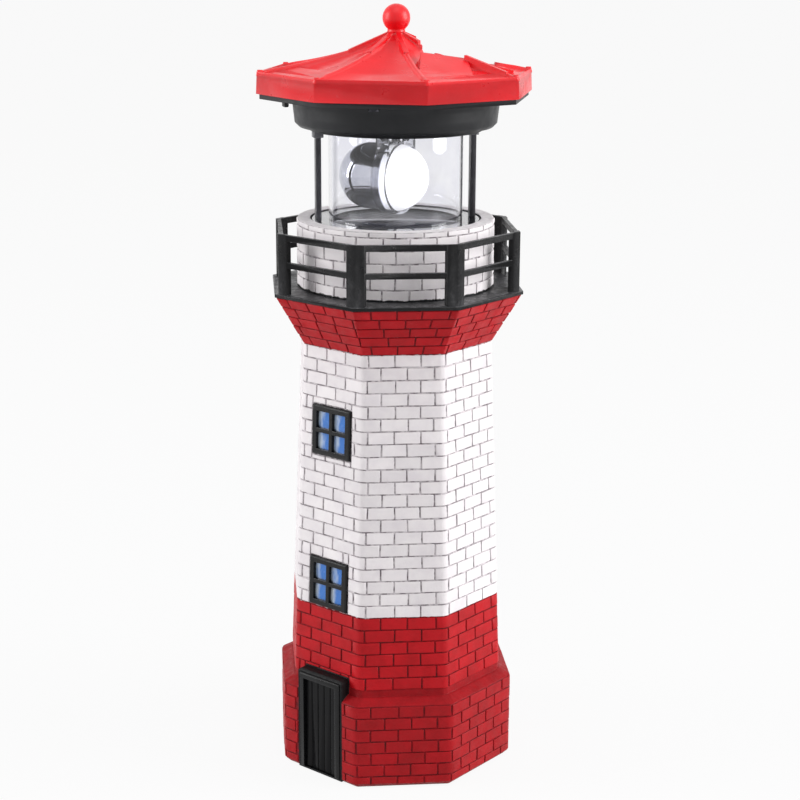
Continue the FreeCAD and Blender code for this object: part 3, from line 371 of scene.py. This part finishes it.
def casting_paint():
    """Casting between and under the bricks: washed joints outside, bare resin inside, and
    near-black painted shadow on the inside of the drum's seat.
    """
    material, tree, shader = started("casting", 0.62, Specular_IOR_Level=0.2)
    x, y, height = position(tree)
    patch = mottle(tree, 3, 4)
    white = tint(tree, spread(tree, patch, 0.4, 0.6, 0, 1), colour(128, 120, 125),
                 colour(222, 216, 219))
    red = tint(tree, spread(tree, patch, 0.4, 0.62, 0, 1), colour(92, 6, 14), colour(150, 16, 28))
    outside = zone_paint(tree, white, red, colour(16, 16, 18), height)

    # Painted shade: the ledge and the edge at the foot take a flat red that is darker than the
    # plinth's bricks.
    ledge_painted_shade = tint(tree, patches(tree, 8, 4, 0.4, 0.6), colour(158, 12, 22), colour(144, 10, 19))
    on_ledge = join(tree, "MULTIPLY", above(tree, height, 41.4, 0.1), below(tree, height, 47.7))
    at_foot = below(tree, height, 2.1, 0.2)
    outside = tint(tree, join(tree, "MAXIMUM", on_ledge, at_foot), outside, ledge_painted_shade)

    beside_door = join(tree, "LESS_THAN", join(tree, "ABSOLUTE", x), doorcase_half * mm)
    doorcase = join(tree, "MULTIPLY", below(tree, height, 51.95, 0.05), beside_door)
    in_front = join(tree, "LESS_THAN", y, -48.5 * mm)
    doorcase = join(tree, "MULTIPLY", doorcase, in_front)
    outside = tint(tree, doorcase, outside, colour(13, 13, 15))

    rim = tint(tree, spread(tree, patch, 0.35, 0.65, 0, 1), colour(240, 236, 237),
               colour(226, 220, 223))
    outside = tint(tree, above(tree, height, 263.0, 0.1), outside, rim)

    resin = tint(tree, mottle(tree, 12, 4), colour(222, 214, 200), colour(205, 196, 182))
    # Painted shadow: above 255 mm, the inside of the drum's seat, round the lantern's flange, is
    # near black.
    resin = tint(tree, above(tree, height, 255.0, 0.2), resin, colour(22, 22, 24))
    underside = join(tree, "LESS_THAN", height, 0.2 * mm)
    bare = join(tree, "MAXIMUM", hollow_of_tower(tree, x, y, height), underside)

    lumps = join(tree, "MULTIPLY_ADD", mottle(tree, 6, 4), 1.0, mottle(tree, 1.2, 2))
    dressed(tree, shader, tint(tree, bare, outside, resin),
            spread(tree, patch, 0.3, 0.7, 0.4, 0.7),
            ridged(tree, lumps, 0.25, 0.6, eased_edges(tree, 1.0)))
    return material


def railing_paint():
    """Semi-gloss black brushed over resin, rubbed grey on the upper edges."""
    material, tree, shader = started("railing_paint", 0.3, Specular_IOR_Level=0.2)
    geometry = tree.nodes.new("ShaderNodeNewGeometry")
    facing = tree.nodes.new("ShaderNodeSeparateXYZ")
    tree.links.new(geometry.outputs["Normal"], facing.inputs[0])
    match = tree.nodes.new("ShaderNodeVectorMath")
    match.operation = "DOT_PRODUCT"
    tree.links.new(geometry.outputs["Normal"], match.inputs[0])
    tree.links.new(eased_edges(tree, 0.6), match.inputs[1])
    at_edge = spread(tree, match.outputs["Value"], 0.9, 0.995, 1, 0)
    tilted = spread(tree, facing.outputs["Z"], 0.2, 0.9, 0.15, 1)
    on_top = spread(tree, facing.outputs["Z"], 0.7, 1.0, 0, 0.35)
    upward = join(tree, "MULTIPLY_ADD", tilted, at_edge, on_top)
    scuffs = spread(tree, mottle(tree, 3.5, 5, (1, 1, 0.6)), 0.52, 0.66, 0, 1)
    scuffed = join(tree, "MULTIPLY", upward, join(tree, "MULTIPLY_ADD", scuffs, 0.55, 0.3))
    body = tint(tree, patches(tree, 7, 4), colour(10, 10, 12), colour(18, 18, 20))
    lumps = join(tree, "MULTIPLY_ADD", mottle(tree, 5, 4), 1.4, mottle(tree, 0.9, 2))
    dressed(tree, shader, tint(tree, scuffed, body, colour(168, 168, 172)),
            patches(tree, 4, 3, 0.3, 0.7, 0.24, 0.48),
            ridged(tree, lumps, 0.28, 0.7, eased_edges(tree, 0.7)))
    return material


def roof_gloss(name="roof_gloss", easing=0.7):
    """Glossy scarlet paint with a soft orange-peel surface and small thin spots."""
    material, tree, shader = started(name, 0.36, Specular_IOR_Level=0.5)
    body = tint(tree, patches(tree, 16, 4, 0.38, 0.64), colour(232, 10, 24), colour(240, 16, 30))
    thin = patches(tree, 2.2, 4, 0.66, 0.74, 0, 0.35)
    lumps = join(tree, "MULTIPLY_ADD", mottle(tree, 11, 2), 1.6, mottle(tree, 1.4, 2))
    dressed(tree, shader, tint(tree, thin, body, colour(232, 70, 80)),
            patches(tree, 9, 3, 0.3, 0.7, 0.26, 0.4),
            ridged(tree, lumps, 0.09, 0.6, eased_edges(tree, easing)))
    return material


def clear_plastic(name, tone, roughness=0.03):
    """Clear moulding; lamps shine through it onto what is behind."""
    material, tree, shader = started(name, roughness, Transmission_Weight=1.0, IOR=1.46)
    dressed(tree, shader, tint(tree, patches(tree, 18, 3), colour(*tone), colour(250, 250, 252)),
            patches(tree, 7, 3, new_low=roughness * 0.6, new_high=roughness * 1.6))
    path = tree.nodes.new("ShaderNodeLightPath")
    through = tree.nodes.new("ShaderNodeBsdfTransparent")
    through.inputs["Color"].default_value = (0.93, 0.93, 0.94, 1)
    mixed_shader(tree, path.outputs["Is Shadow Ray"], shader, through)
    return material


def plated():
    """Vacuum-plated reflector, slightly rippled."""
    material, tree, shader = started("plated", 0.09, Metallic=1.0)
    dressed(tree, shader, tint(tree, patches(tree, 10, 3), colour(214, 216, 222),
                               colour(192, 194, 202)),
            patches(tree, 6, 3, 0.3, 0.7, 0.06, 0.14),
            ridged(tree, mottle(tree, 7, 2), 0.08, 0.5))
    return material


def lit_lens():
    """Front of the lamp, filled with the light of the bulb behind it."""
    material, tree, shader = started("lit_lens", 0.12, Emission_Strength=0.85, Coat_Weight=0.6,
                                     Coat_Roughness=0.04)
    bright = patches(tree, 9, 2, 0.3, 0.7)
    dressed(tree, shader, tint(tree, bright, colour(250, 250, 252), colour(242, 243, 248)))
    tree.links.new(tint(tree, bright, (1, 0.995, 0.98, 1), (0.97, 0.975, 1, 1)),
                   shader.inputs["Emission Color"])
    return material


pane_step = 9.8                    # from one pane of a window to the next
pane_rise = 10.2
pane_half = (3.9, 4.2)             # half the width and height that shows


def window_blue():
    """Painted panes, pale at the left and deep blue at the right, dark by the bars."""
    material, tree, shader = started("window_blue", 0.2, Coat_Weight=0.5)
    nearest = None
    for low, high in (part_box("upper_window_glazing"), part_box("lower_window_glazing")):
        middle = (low + high) / 2
        for side_x in (-0.5, 0.5):
            for side_z in (-0.5, 0.5):
                edge = pane_edge(tree, middle.x + side_x * pane_step * mm,
                                 middle.z + side_z * pane_rise * mm)
                nearest = edge if nearest is None else join(tree, "MINIMUM", nearest, edge)
    ripple = join(tree, "SUBTRACT", mottle(tree, 2.6, 2, (1, 1, 0.3)), 0.5)
    streak = join(tree, "MULTIPLY_ADD", ripple, 0.9, pane_slant(tree))
    blue = tint(tree, spread(tree, streak, 0.1, 0.5, 0, 1), colour(196, 210, 222),
                colour(30, 112, 200))
    by_bar = spread(tree, nearest, 0.86, 1.12, 0, 1)
    dressed(tree, shader, tint(tree, by_bar, blue, colour(12, 18, 30)),
            patches(tree, 2, 3, 0.3, 0.7, 0.14, 0.3), ridged(tree, nearest, 0.5, 0.5))
    return material


def pane_slant(tree):
    """0 at the left side of each pane, rising to 1 at its right side."""
    shifted = join(tree, "ADD", position(tree)[0], 10 * pane_step * mm)
    return join(tree, "FRACT", join(tree, "DIVIDE", shifted, pane_step * mm))


def pane_edge(tree, x, z):
    """0 at a pane's middle, about 1 at its edge."""
    place = position(tree)
    powers = []
    for there, centre, half in ((place[0], x, pane_half[0]), (place[2], z, pane_half[1])):
        off = join(tree, "ABSOLUTE", join(tree, "SUBTRACT", there, centre))
        powers.append(join(tree, "POWER", join(tree, "DIVIDE", off, half * mm), 4.0))
    return join(tree, "POWER", join(tree, "ADD", *powers), 0.25)


def metal(name, light, dark, roughness, brushed=(1, 1, 6)):
    """Bare metal with fine brushed lines."""
    material, tree, shader = started(name, roughness, Metallic=1.0)
    lines = mottle(tree, 1.2, 3, brushed)
    share = spread(tree, lines, 0.35, 0.65, 0, 1)
    dressed(tree, shader, tint(tree, share, colour(*dark), colour(*light)),
            spread(tree, lines, 0.3, 0.7, roughness * 0.7, roughness * 1.3),
            ridged(tree, lines, 0.02, 0.5, eased_edges(tree, 0.12)))
    return material


def cell_finish():
    """Blue silicon with fine silver fingers across each strip."""
    material, tree, shader = started("solar_cell", 0.25, Coat_Weight=0.7)
    lines = tree.nodes.new("ShaderNodeTexWave")
    lines.bands_direction = "X"
    lines.inputs["Scale"].default_value = 90
    turn = place_on_piece(tree)
    turn.node.inputs["Rotation"].default_value = (0, 0, math.radians(-lantern_heading))
    tree.links.new(turn, lines.inputs["Vector"])
    fingers = spread(tree, lines.outputs["Fac"], 0.9, 0.97, 0, 0.7)
    crystal = tint(tree, patches(tree, 5, 1, 0.4, 0.6), colour(18, 26, 62), colour(30, 44, 92))
    dressed(tree, shader, tint(tree, fingers, crystal, colour(170, 176, 190)))
    return material


# ---------------------------------------------------------------- making pieces
def finished(name, bm, body, material, sharp=35.0):
    """Mesh object from a bmesh, smooth up to an angle, riding on a body."""
    mesh = bpy.data.meshes.new(name)
    bm.to_mesh(mesh)
    bm.free()
    mesh.shade_smooth()
    mesh.set_sharp_from_angle(angle=math.radians(sharp))
    mesh.materials.append(material)
    piece = bpy.data.objects.new(name, mesh)
    bpy.context.scene.collection.objects.link(piece)
    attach(piece, body)
    return piece


def copied(node):
    """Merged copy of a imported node's mesh."""
    bm = bmesh.new()
    bm.from_mesh(frame["nodes"][node].data)
    bmesh.ops.remove_doubles(bm, verts=bm.verts, dist=0.002 * mm)
    return bm


def smoothed(node, material, sharp=30.0):
    """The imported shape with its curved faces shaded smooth."""
    piece = finished(node + "_finished", copied(node), home_body[node], material, sharp)
    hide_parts(node)


# ---------------------------------------------------------------- bricks
joint = 0.62                       # gap between two bricks of a course
bed_joint = 0.8 * joint            # gap between two courses
brick_rise = 0.45                  # how far a brick stands out of the wall
brick_root = 0.9                   # how far it goes into the wall
brick_edge = 0.22                  # bevel
least_brick = 0.8                  # smaller remnants beside an opening are left out
end_spread = 0.45                  # by how much bricks differ: ends, rise, level, lean
rise_spread = 0.09
level_spread = 0.08
lean_spread = 0.5
recess_depth = 0.2                 # depth over which the wash comes in at an edge
wave_pitch = 0.21                  # of the wall's unevenness, as cast from clay
wave_size = (0.22, 0.1, 0.16)
brick_seed = 7                     # of the draws for each brick and of the unevenness


class Wall:
    """One zone of brickwork, laid flat and wrapped round the tower."""

    def __init__(self, name, radii, heights, corner, lines, counts, start, stagger=0):
        self.name = name
        self.low, self.high = radii
        self.z0, self.z1 = heights
        self.corner = corner       # rounding of the octagon's corners, None on a round wall
        self.lines = lines         # heights between the courses
        self.counts = counts       # bricks in each course
        self.start = start         # angle at which the bricks begin
        self.stagger = stagger     # 1 if the first course is the one that is set off
        self.lean = math.atan2(self.high - self.low, self.z1 - self.z0)

    def radius(self, z):
        """Radius to the corners at a height."""
        return self.low + (self.high - self.low) * (z - self.z0) / (self.z1 - self.z0)

    def reach(self, z, angle):
        """Distance from the axis to the wall at a height and an angle."""
        radius = self.radius(z)
        if self.corner is None:
            return radius
        off_corner = math.radians(angle % side_angle - half_side)
        off_face = math.radians((angle + half_side) % side_angle - half_side)
        centre = radius - self.corner / cos_half
        bend = math.radians(half_side)
        touch = math.atan2(self.corner * math.sin(bend), centre + self.corner * math.cos(bend))
        if abs(off_corner) > touch:
            return radius * cos_half / math.cos(off_face)
        side = centre * math.sin(off_corner)
        return centre * math.cos(off_corner) + math.sqrt(self.corner ** 2 - side ** 2)

    def per_degree(self):
        """Length of wall for a degree round the axis, at mid height."""
        middle = (self.low + self.high) / 2
        if self.corner is None:
            return 2 * math.pi * middle / 360
        return 16 * middle * math.sin(math.radians(half_side)) / 360

    def wrapped(self, point):
        """Where a point of the flat wall lands: x along, y into the wall, z up."""
        angle = point.x / self.per_degree()
        reach = self.reach(point.z, angle) - point.y * math.cos(self.lean)
        turn = math.radians(angle)
        return Vector((reach * math.cos(turn), reach * math.sin(turn),
                       point.z + point.y * math.sin(self.lean)))


def without(brick, opening):
    """What an opening leaves of a brick; both are x0, z0, x1, z1."""
    x0, z0, x1, z1 = brick
    u0, v0, u1, v1 = opening
    if x1 <= u0 or x0 >= u1 or z1 <= v0 or z0 >= v1:
        return [brick]
    left = []
    if x0 < u0:
        left.append((x0, z0, u0, z1))
    if x1 > u1:
        left.append((u1, z0, x1, z1))
    if z1 > v1:
        left.append((max(x0, u0), v1, min(x1, u1), z1))
    if z0 < v0:
        left.append((max(x0, u0), z0, min(x1, u1), v0))
    return left


def lay_bricks(wall, openings, dice):
    """Flat wall of bricks, cut where it bends, then wrapped round the tower."""
    bm = bmesh.new()
    tone = bm.verts.layers.float.new("tone")
    per_degree = wall.per_degree()
    round_about = 360 * per_degree
    for row, (z0, z1) in enumerate(zip(wall.lines, wall.lines[1:])):
        count = wall.counts[row % len(wall.counts)]
        step = round_about / count
        set_off = 0.5 if (row + wall.stagger) % 2 else 0.0
        first = wall.start * per_degree + set_off * step
        ends = [first + k * step + dice.uniform(-end_spread, end_spread) for k in range(count)]
        ends.append(ends[0] + round_about)
        for x0, x1 in zip(ends, ends[1:]):
            bricks = [(x0, z0, x1, z1)]
            for half, low, high in openings:
                middle = front_face * per_degree
                face = wall.radius((z0 + z1) / 2) * cos_half
                wide = math.degrees(math.atan(half / face)) * per_degree
                for lap in (-round_about, 0, round_about):
                    gap = (middle + lap - wide, low, middle + lap + wide, high)
                    bricks = [part for brick in bricks for part in without(brick, gap)]
            for part in bricks:
                add_brick(bm, part, dice, tone)
    bmesh.ops.bevel(bm, geom=bm.edges, offset=brick_edge, offset_type="OFFSET", segments=1,
                    profile=0.5, affect="EDGES", material=-1)
    if wall.corner is not None:
        cut_at_corners(bm, wall)
    recess = bm.verts.layers.float.new("recess")
    for vert in bm.verts:
        depth = vert.co.y + brick_rise - rise_spread
        vert[recess] = min(max(depth / recess_depth, 0), 1)
        wave = noise.noise_vector(vert.co * wave_pitch)
        vert.co += Vector([way * size for way, size in zip(wave, wave_size)])
    for vert in bm.verts:
        vert.co = wall.wrapped(vert.co) * mm
    bmesh.ops.recalc_face_normals(bm, faces=bm.faces)
    return bm


def cut_at_corners(bm, wall):
    """Cuts across the flat wall at each corner that it will bend round."""
    bend = math.degrees(wall.corner * math.tan(math.radians(half_side)) / wall.low)
    for k in range(-4, 10):
        for share in (-1.0, -0.4, 0.4, 1.0):
            x = (half_side + side_angle * k + share * bend) * wall.per_degree()
            bmesh.ops.bisect_plane(bm, geom=bm.verts[:] + bm.edges[:] + bm.faces[:],
                                   plane_co=(x, 0, 0), plane_no=(1, 0, 0), dist=1e-5)


def add_brick(bm, part, dice, tone):
    """One brick, a little off in rise, level and lean; tone keeps its shade."""
    x0, z0, x1, z1 = part
    wide, high = x1 - x0 - joint, z1 - z0 - bed_joint
    if wide < least_brick or high < least_brick:
        return
    rise = brick_rise + dice.uniform(-rise_spread, rise_spread)
    size = Matrix.Diagonal((wide, rise + brick_root, high, 1))
    middle = Matrix.Translation(((x0 + x1) / 2, (brick_root - rise) / 2,
                                 (z0 + z1) / 2 + dice.uniform(-level_spread, level_spread)))
    lean = Matrix.Rotation(math.radians(dice.uniform(-lean_spread, lean_spread)), 4, "Y")
    made = bmesh.ops.create_cube(bm, size=1.0, matrix=middle @ lean @ size)
    shade = dice.random()
    for vert in made["verts"]:
        vert[tone] = shade


def tower_walls():
    """The four zones of bricks, from the ground up."""
    plinth_lines = [1.9] + [course * k for k in range(1, 7)] + [41.3]
    shaft_lines = [plinth_top + course * k for k in range(1, 29)]
    corbel_lines = [shaft_top + (corbel_top - shaft_top) * k / 5 for k in range(6)]
    drum_lines = [231.6] + [231.4 + 5.83 * k for k in range(1, 6)] + [263.15]
    return [
        Wall("plinth_bricks", (plinth_radius, plinth_radius), (0, plinth_top), 5.0,
             plinth_lines, [28], -67.0, stagger=1),
        Wall("shaft_bricks", (shaft_foot_radius, shaft_top_radius), (plinth_top, shaft_top), 4.2,
             shaft_lines, [24], 25.0),
        Wall("corbel_bricks", (shaft_top_radius, corbel_radius), (shaft_top, corbel_top), 0.8,
             corbel_lines, [25, 26, 28, 30, 31], 9.0),
        Wall("drum_bricks", (drum_radius, drum_radius), (drum_foot, drum_top), None,
             drum_lines, [24], 3.0),
    ]


def build_bricks(material):
    """Bricks on all four walls, left open at the door and the windows."""
    dice = random.Random(brick_seed)
    noise.seed_set(brick_seed)     # Blender starts its noise from the clock otherwise
    tall = window_height / 2 * math.cos(math.radians(shaft_lean))
    windows = [(window_half, middle - tall - window_margin, middle + tall + window_margin)
               for middle in window_middles]
    openings = {
        "plinth_bricks": [(doorcase_half, 0, 60)],
        "shaft_bricks": [(doorcase_half, 0, 51.8)] + windows,
    }
    for wall in tower_walls():
        bm = lay_bricks(wall, openings.get(wall.name, []), dice)
        finished(wall.name, bm, "tower", material)


# ---------------------------------------------------------------- lantern
def clear_tube():
    """Tube with a flange and skirt at its foot, turned in one piece."""
    low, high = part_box("clear_tube")
    foot, top = low.z / mm, high.z / mm
    inner, outer, skirt, flange = 29.7, 31.0, 37.2, 38.8
    under, over = foot + 3.2, foot + 5.0
    profile = [(inner, under), (skirt, under), (skirt, foot), (flange, foot),
               (flange, over), (outer, over), (outer, top), (inner, top)]
    bm = bmesh.new()
    corners = [bm.verts.new((r * mm, 0, z * mm)) for r, z in profile]
    for a, b in zip(corners, corners[1:] + corners[:1]):
        bm.edges.new((a, b))
    bmesh.ops.spin(bm, geom=bm.verts[:] + bm.edges[:], cent=(0, 0, 0), axis=(0, 0, 1),
                   dvec=(0, 0, 0), angle=math.tau, steps=160, use_merge=True)
    bmesh.ops.remove_doubles(bm, verts=bm.verts, dist=0.01 * mm)
    bmesh.ops.recalc_face_normals(bm, faces=bm.faces)
    piece = finished("clear_tube_turned", bm, "lantern",
                     clear_plastic("tube_plastic", (243, 243, 248), 0.004), 40)
    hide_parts("clear_tube")


def shaped_bar(bm, low, high, place, changes):
    """Bar between two corners, its corner points moved before it is set in place."""
    size = [b - a for a, b in zip(low, high)]
    middle = [(a + b) / 2 for a, b in zip(low, high)]
    made = bmesh.ops.create_cube(bm, size=1.0, matrix=Matrix.Translation(middle)
                                 @ Matrix.Diagonal(size + [1]))
    for vert in made["verts"]:
        sides = tuple(int(vert.co[k] > middle[k]) for k in range(3))
        vert.co += Vector(changes.get(sides, (0, 0, 0)))
    bmesh.ops.transform(bm, matrix=place, verts=made["verts"])


knob_foot = 330.5                  # corner knobs are lowered towards this height
knob_ring = 59.6
knob_share = 0.4
pocket_place = (27.52, 0, 335.2)   # middle of the panel's glass, along the heading
pocket_half = 20.8
pocket_side = 25.1
pocket_rim = 1.7                   # rim above the glass
rim_turn = -1.2                    # where the near side of the pocket bends
rib_half = 1.5
rib_draft = 0.4                    # a rib is narrower on top by this, each side
rib_start = 3.5
rib_end = 22
rib_fall = 7.9
cut_ribs = {0: 9.0, 1: 12.3, 7: 12.3}   # ends of the ribs that meet the pocket


def rib_bar(bm, start, end, foot, top, place, fall, end_drop):
    """Rib from the middle outwards, drawn in on top and falling towards its end."""
    changes = {(0, 0, 1): (0, rib_draft, 0), (0, 1, 1): (0, -rib_draft, 0),
               (1, 0, 1): (0, rib_draft, -fall), (1, 1, 1): (0, -rib_draft, -fall),
               (1, 0, 0): (0, 0, -end_drop), (1, 1, 0): (0, 0, -end_drop)}
    shaped_bar(bm, (start, -rib_half, foot), (end, rib_half, top), place, changes)


def roof():
    """The roof with the raised rim of its panel pocket and the rib that ends at it."""
    bm = copied("roof_shell")
    for vert in bm.verts:
        if vert.co.z > knob_foot * mm and vert.co.xy.length > knob_ring * mm:
            vert.co.z = knob_foot * mm + (vert.co.z - knob_foot * mm) * knob_share
    scale = Matrix.Scale(mm, 4)
    heading = Matrix.Rotation(math.radians(lantern_heading), 4, "Z")
    tilt = Matrix.Rotation(math.atan(pocket_slope), 4, "Y")
    glass = scale @ heading @ Matrix.Translation(pocket_place) @ tilt
    shaped_bar(bm, (-pocket_half, -44, -12), (rim_turn, -pocket_side, pocket_rim), glass,
               {(0, 0, 1): (-5, 0, -9.0), (1, 0, 1): (0, 0, -6.7), (0, 1, 1): (-1.5, 0, -0.8),
                (0, 1, 0): (-1.5, 0, 0), (0, 0, 0): (-5, 0, 0)})
    shaped_bar(bm, (rim_turn, -27, -4), (pocket_half, -pocket_side, pocket_rim), glass,
               {(1, 0, 1): (0, 0, -1.6), (1, 1, 1): (0, 0, -1.6)})
    spoke = scale @ heading @ Matrix.Rotation(math.radians(-side_angle), 4, "Z")
    rib_bar(bm, 36.6, 58, 333, 338.6, spoke, 6.4, 4)
    crown = bmesh.ops.create_cone(bm, segments=8, radius1=16 * mm, radius2=4.6 * mm,
                                  depth=7.2 * mm, cap_ends=True,
                                  matrix=heading @ Matrix.Translation((0, 0, 343.1 * mm)))
    near = crown["verts"]
    bmesh.ops.bisect_plane(bm, geom=list({edge for vert in near for edge in vert.link_edges})
                           + near + list({face for vert in near for face in vert.link_faces}),
                           plane_co=heading @ Vector((8.9 * mm, 0, 0)),
                           plane_no=heading @ Vector((1, 0, 0)), clear_outer=True)
    for k in range(8):
        turned = scale @ heading @ Matrix.Rotation(math.radians(side_angle * k), 4, "Z")
        reach = cut_ribs.get(k, rib_end)
        fall = rib_fall * (reach - rib_start) / (rib_end - rib_start)
        rib_bar(bm, rib_start, reach, 338, 347.7, turned, fall, 1)
    piece = finished("roof_shell_finished", bm, "lantern", roof_gloss(), 30)
    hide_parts("roof_shell")


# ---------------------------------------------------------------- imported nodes
def finish_nodes():
    """Rows of a material, a slot and the nodes that are smoothed, or kept as packed."""
    trim = moulded("frame_paint", (16, 16, 18), (9, 9, 11), 0.3, 1.2, 0.12, 0.5, 6.0)
    door = moulded("door_paint", (12, 12, 14), (8, 8, 10), 0.34, 1.6, 0.08, 0.8, 7.0,
                   Specular_IOR_Level=0.15)
    post = moulded("post_plastic", (98, 98, 102), (86, 86, 90), 0.34, 0.6, 0.03, 0.3, 9.0)
    cup = moulded("cup_plastic", (28, 29, 32), (20, 21, 24), 0.46, 0.5, 0.035, 0.4, 20.0)
    black = moulded("lantern_black", (20, 21, 23), (13, 14, 16), 0.3, 0.6, 0.03, 0.3, 9.0)
    floor = moulded("floor_gloss", (60, 61, 66), (50, 51, 56), 0.14, 3.0, 0.02, 0.3, 24.0,
                    Specular_IOR_Level=0.6)
    gear = moulded("gear_plastic", (236, 234, 226), (224, 222, 212), 0.42, 1.0, 0.02, 0.1, 8.0)
    plate = moulded("plate_plastic", (58, 60, 64), (46, 48, 52), 0.5)
    board = moulded("board_green", (34, 92, 52), (24, 74, 42), 0.4, 0.6, 0.02, 0.1, 4.0)
    chip = moulded("chip_black", (34, 34, 36), (24, 24, 26), 0.5, 0.4)
    capacitor = moulded("capacitor_sleeve", (38, 44, 74), (28, 32, 58), 0.3)
    battery = moulded("battery_sleeve", (74, 128, 82), (62, 112, 70), 0.3, 2.0, 0.01, 0.3, 30.0)
    holder = moulded("holder_plastic", (44, 45, 48), (34, 35, 38), 0.45)
    panel = moulded("panel_board", (224, 224, 220), (210, 210, 206), 0.5)
    foam = moulded("seal_foam", (60, 60, 62), (44, 44, 46), 0.9, 0.5, 0.1)
    steel = metal("screw_steel", (58, 58, 62), (40, 40, 44), 0.35)
    axle = metal("axle_steel", (206, 207, 210), (168, 170, 174), 0.22)
    can = metal("motor_can", (188, 188, 186), (150, 150, 150), 0.34)
    contact = metal("contact_steel", (212, 208, 198), (180, 176, 168), 0.28)
    tin = metal("lead_tin", (205, 205, 208), (172, 172, 176), 0.3)
    coil = metal("coil_copper", (196, 120, 70), (150, 84, 46), 0.35, (1, 1, 9))
    yoke = clear_plastic("yoke_plastic", (214, 216, 222), 0.12)
    stem = clear_plastic("stem_plastic", (226, 228, 232), 0.2)
    epoxy = clear_plastic("led_epoxy", (246, 246, 240), 0.08)
    cover = clear_plastic("panel_cover", (240, 243, 248), 0.05)
    smooth_rows = [
        (railing_paint(), "black_trim", "gallery_railing"),
        (roof_gloss("finial_gloss", 0.3), "roof_red", "roof_finial"),
        (plated(), "reflector_chrome", "reflector"),
        (lit_lens(), "lens_clear", "beacon_lens"),
        (yoke, "yoke_clear", "beacon_yoke"),
        (stem, "stem_plastic", "led_stem"),
        (epoxy, "led_epoxy", "led_lamp"),
        (trim, "black_trim", "door_frame", "upper_window_frame", "lower_window_frame"),
        (door, "black_trim", "door_leaf"),
        (cup, "housing_plastic", "mechanism_housing"),
        (post, "post_plastic", "lantern_posts"),
        (floor, "lantern_black", "lantern_floor"),
        (black, "knob_black", "switch_knob"),
        (steel, "screw_steel", "housing_screws"),
        (axle, "axle_steel", "idler_axle", "motor_shaft"),
        (can, "motor_can", "geared_motor"),
        (gear, "gear_white", "drive_gear", "idler_gear", "motor_pinion", "thrust_washer"),
        (capacitor, "capacitor_can", "driver_capacitor"),
        (battery, "battery_sleeve", "battery_cell"),
    ]
    packed_rows = [
        (casting_paint(), "tower_casting"),
        (window_blue(), "upper_window_glazing", "lower_window_glazing"),
        (black, "slide_switch"),
        (steel, "gear_plate_screws"),
        (contact, "battery_contact_plus", "battery_contact_minus"),
        (tin, "led_leads"),
        (plate, "gear_plate"),
        (board, "circuit_board"),
        (chip, "driver_chip"),
        (coil, "driver_coil"),
        (holder, "battery_holder"),
        (cell_finish(), "solar_cells"),
        (panel, "solar_panel_board"),
        (cover, "solar_panel_cover"),
        (foam, "solar_panel_seal"),
    ]
    for material, slot, *nodes in smooth_rows:
        for node in nodes:
            smoothed(node, material)
    for material, *nodes in packed_rows:
        for node in nodes:
            mesh = frame["nodes"][node].data
            mesh.materials.clear()
            mesh.materials.append(material)


place_camera()
studio()
clear_tube()
roof()
build_bricks(painted_bricks())
finish_nodes()
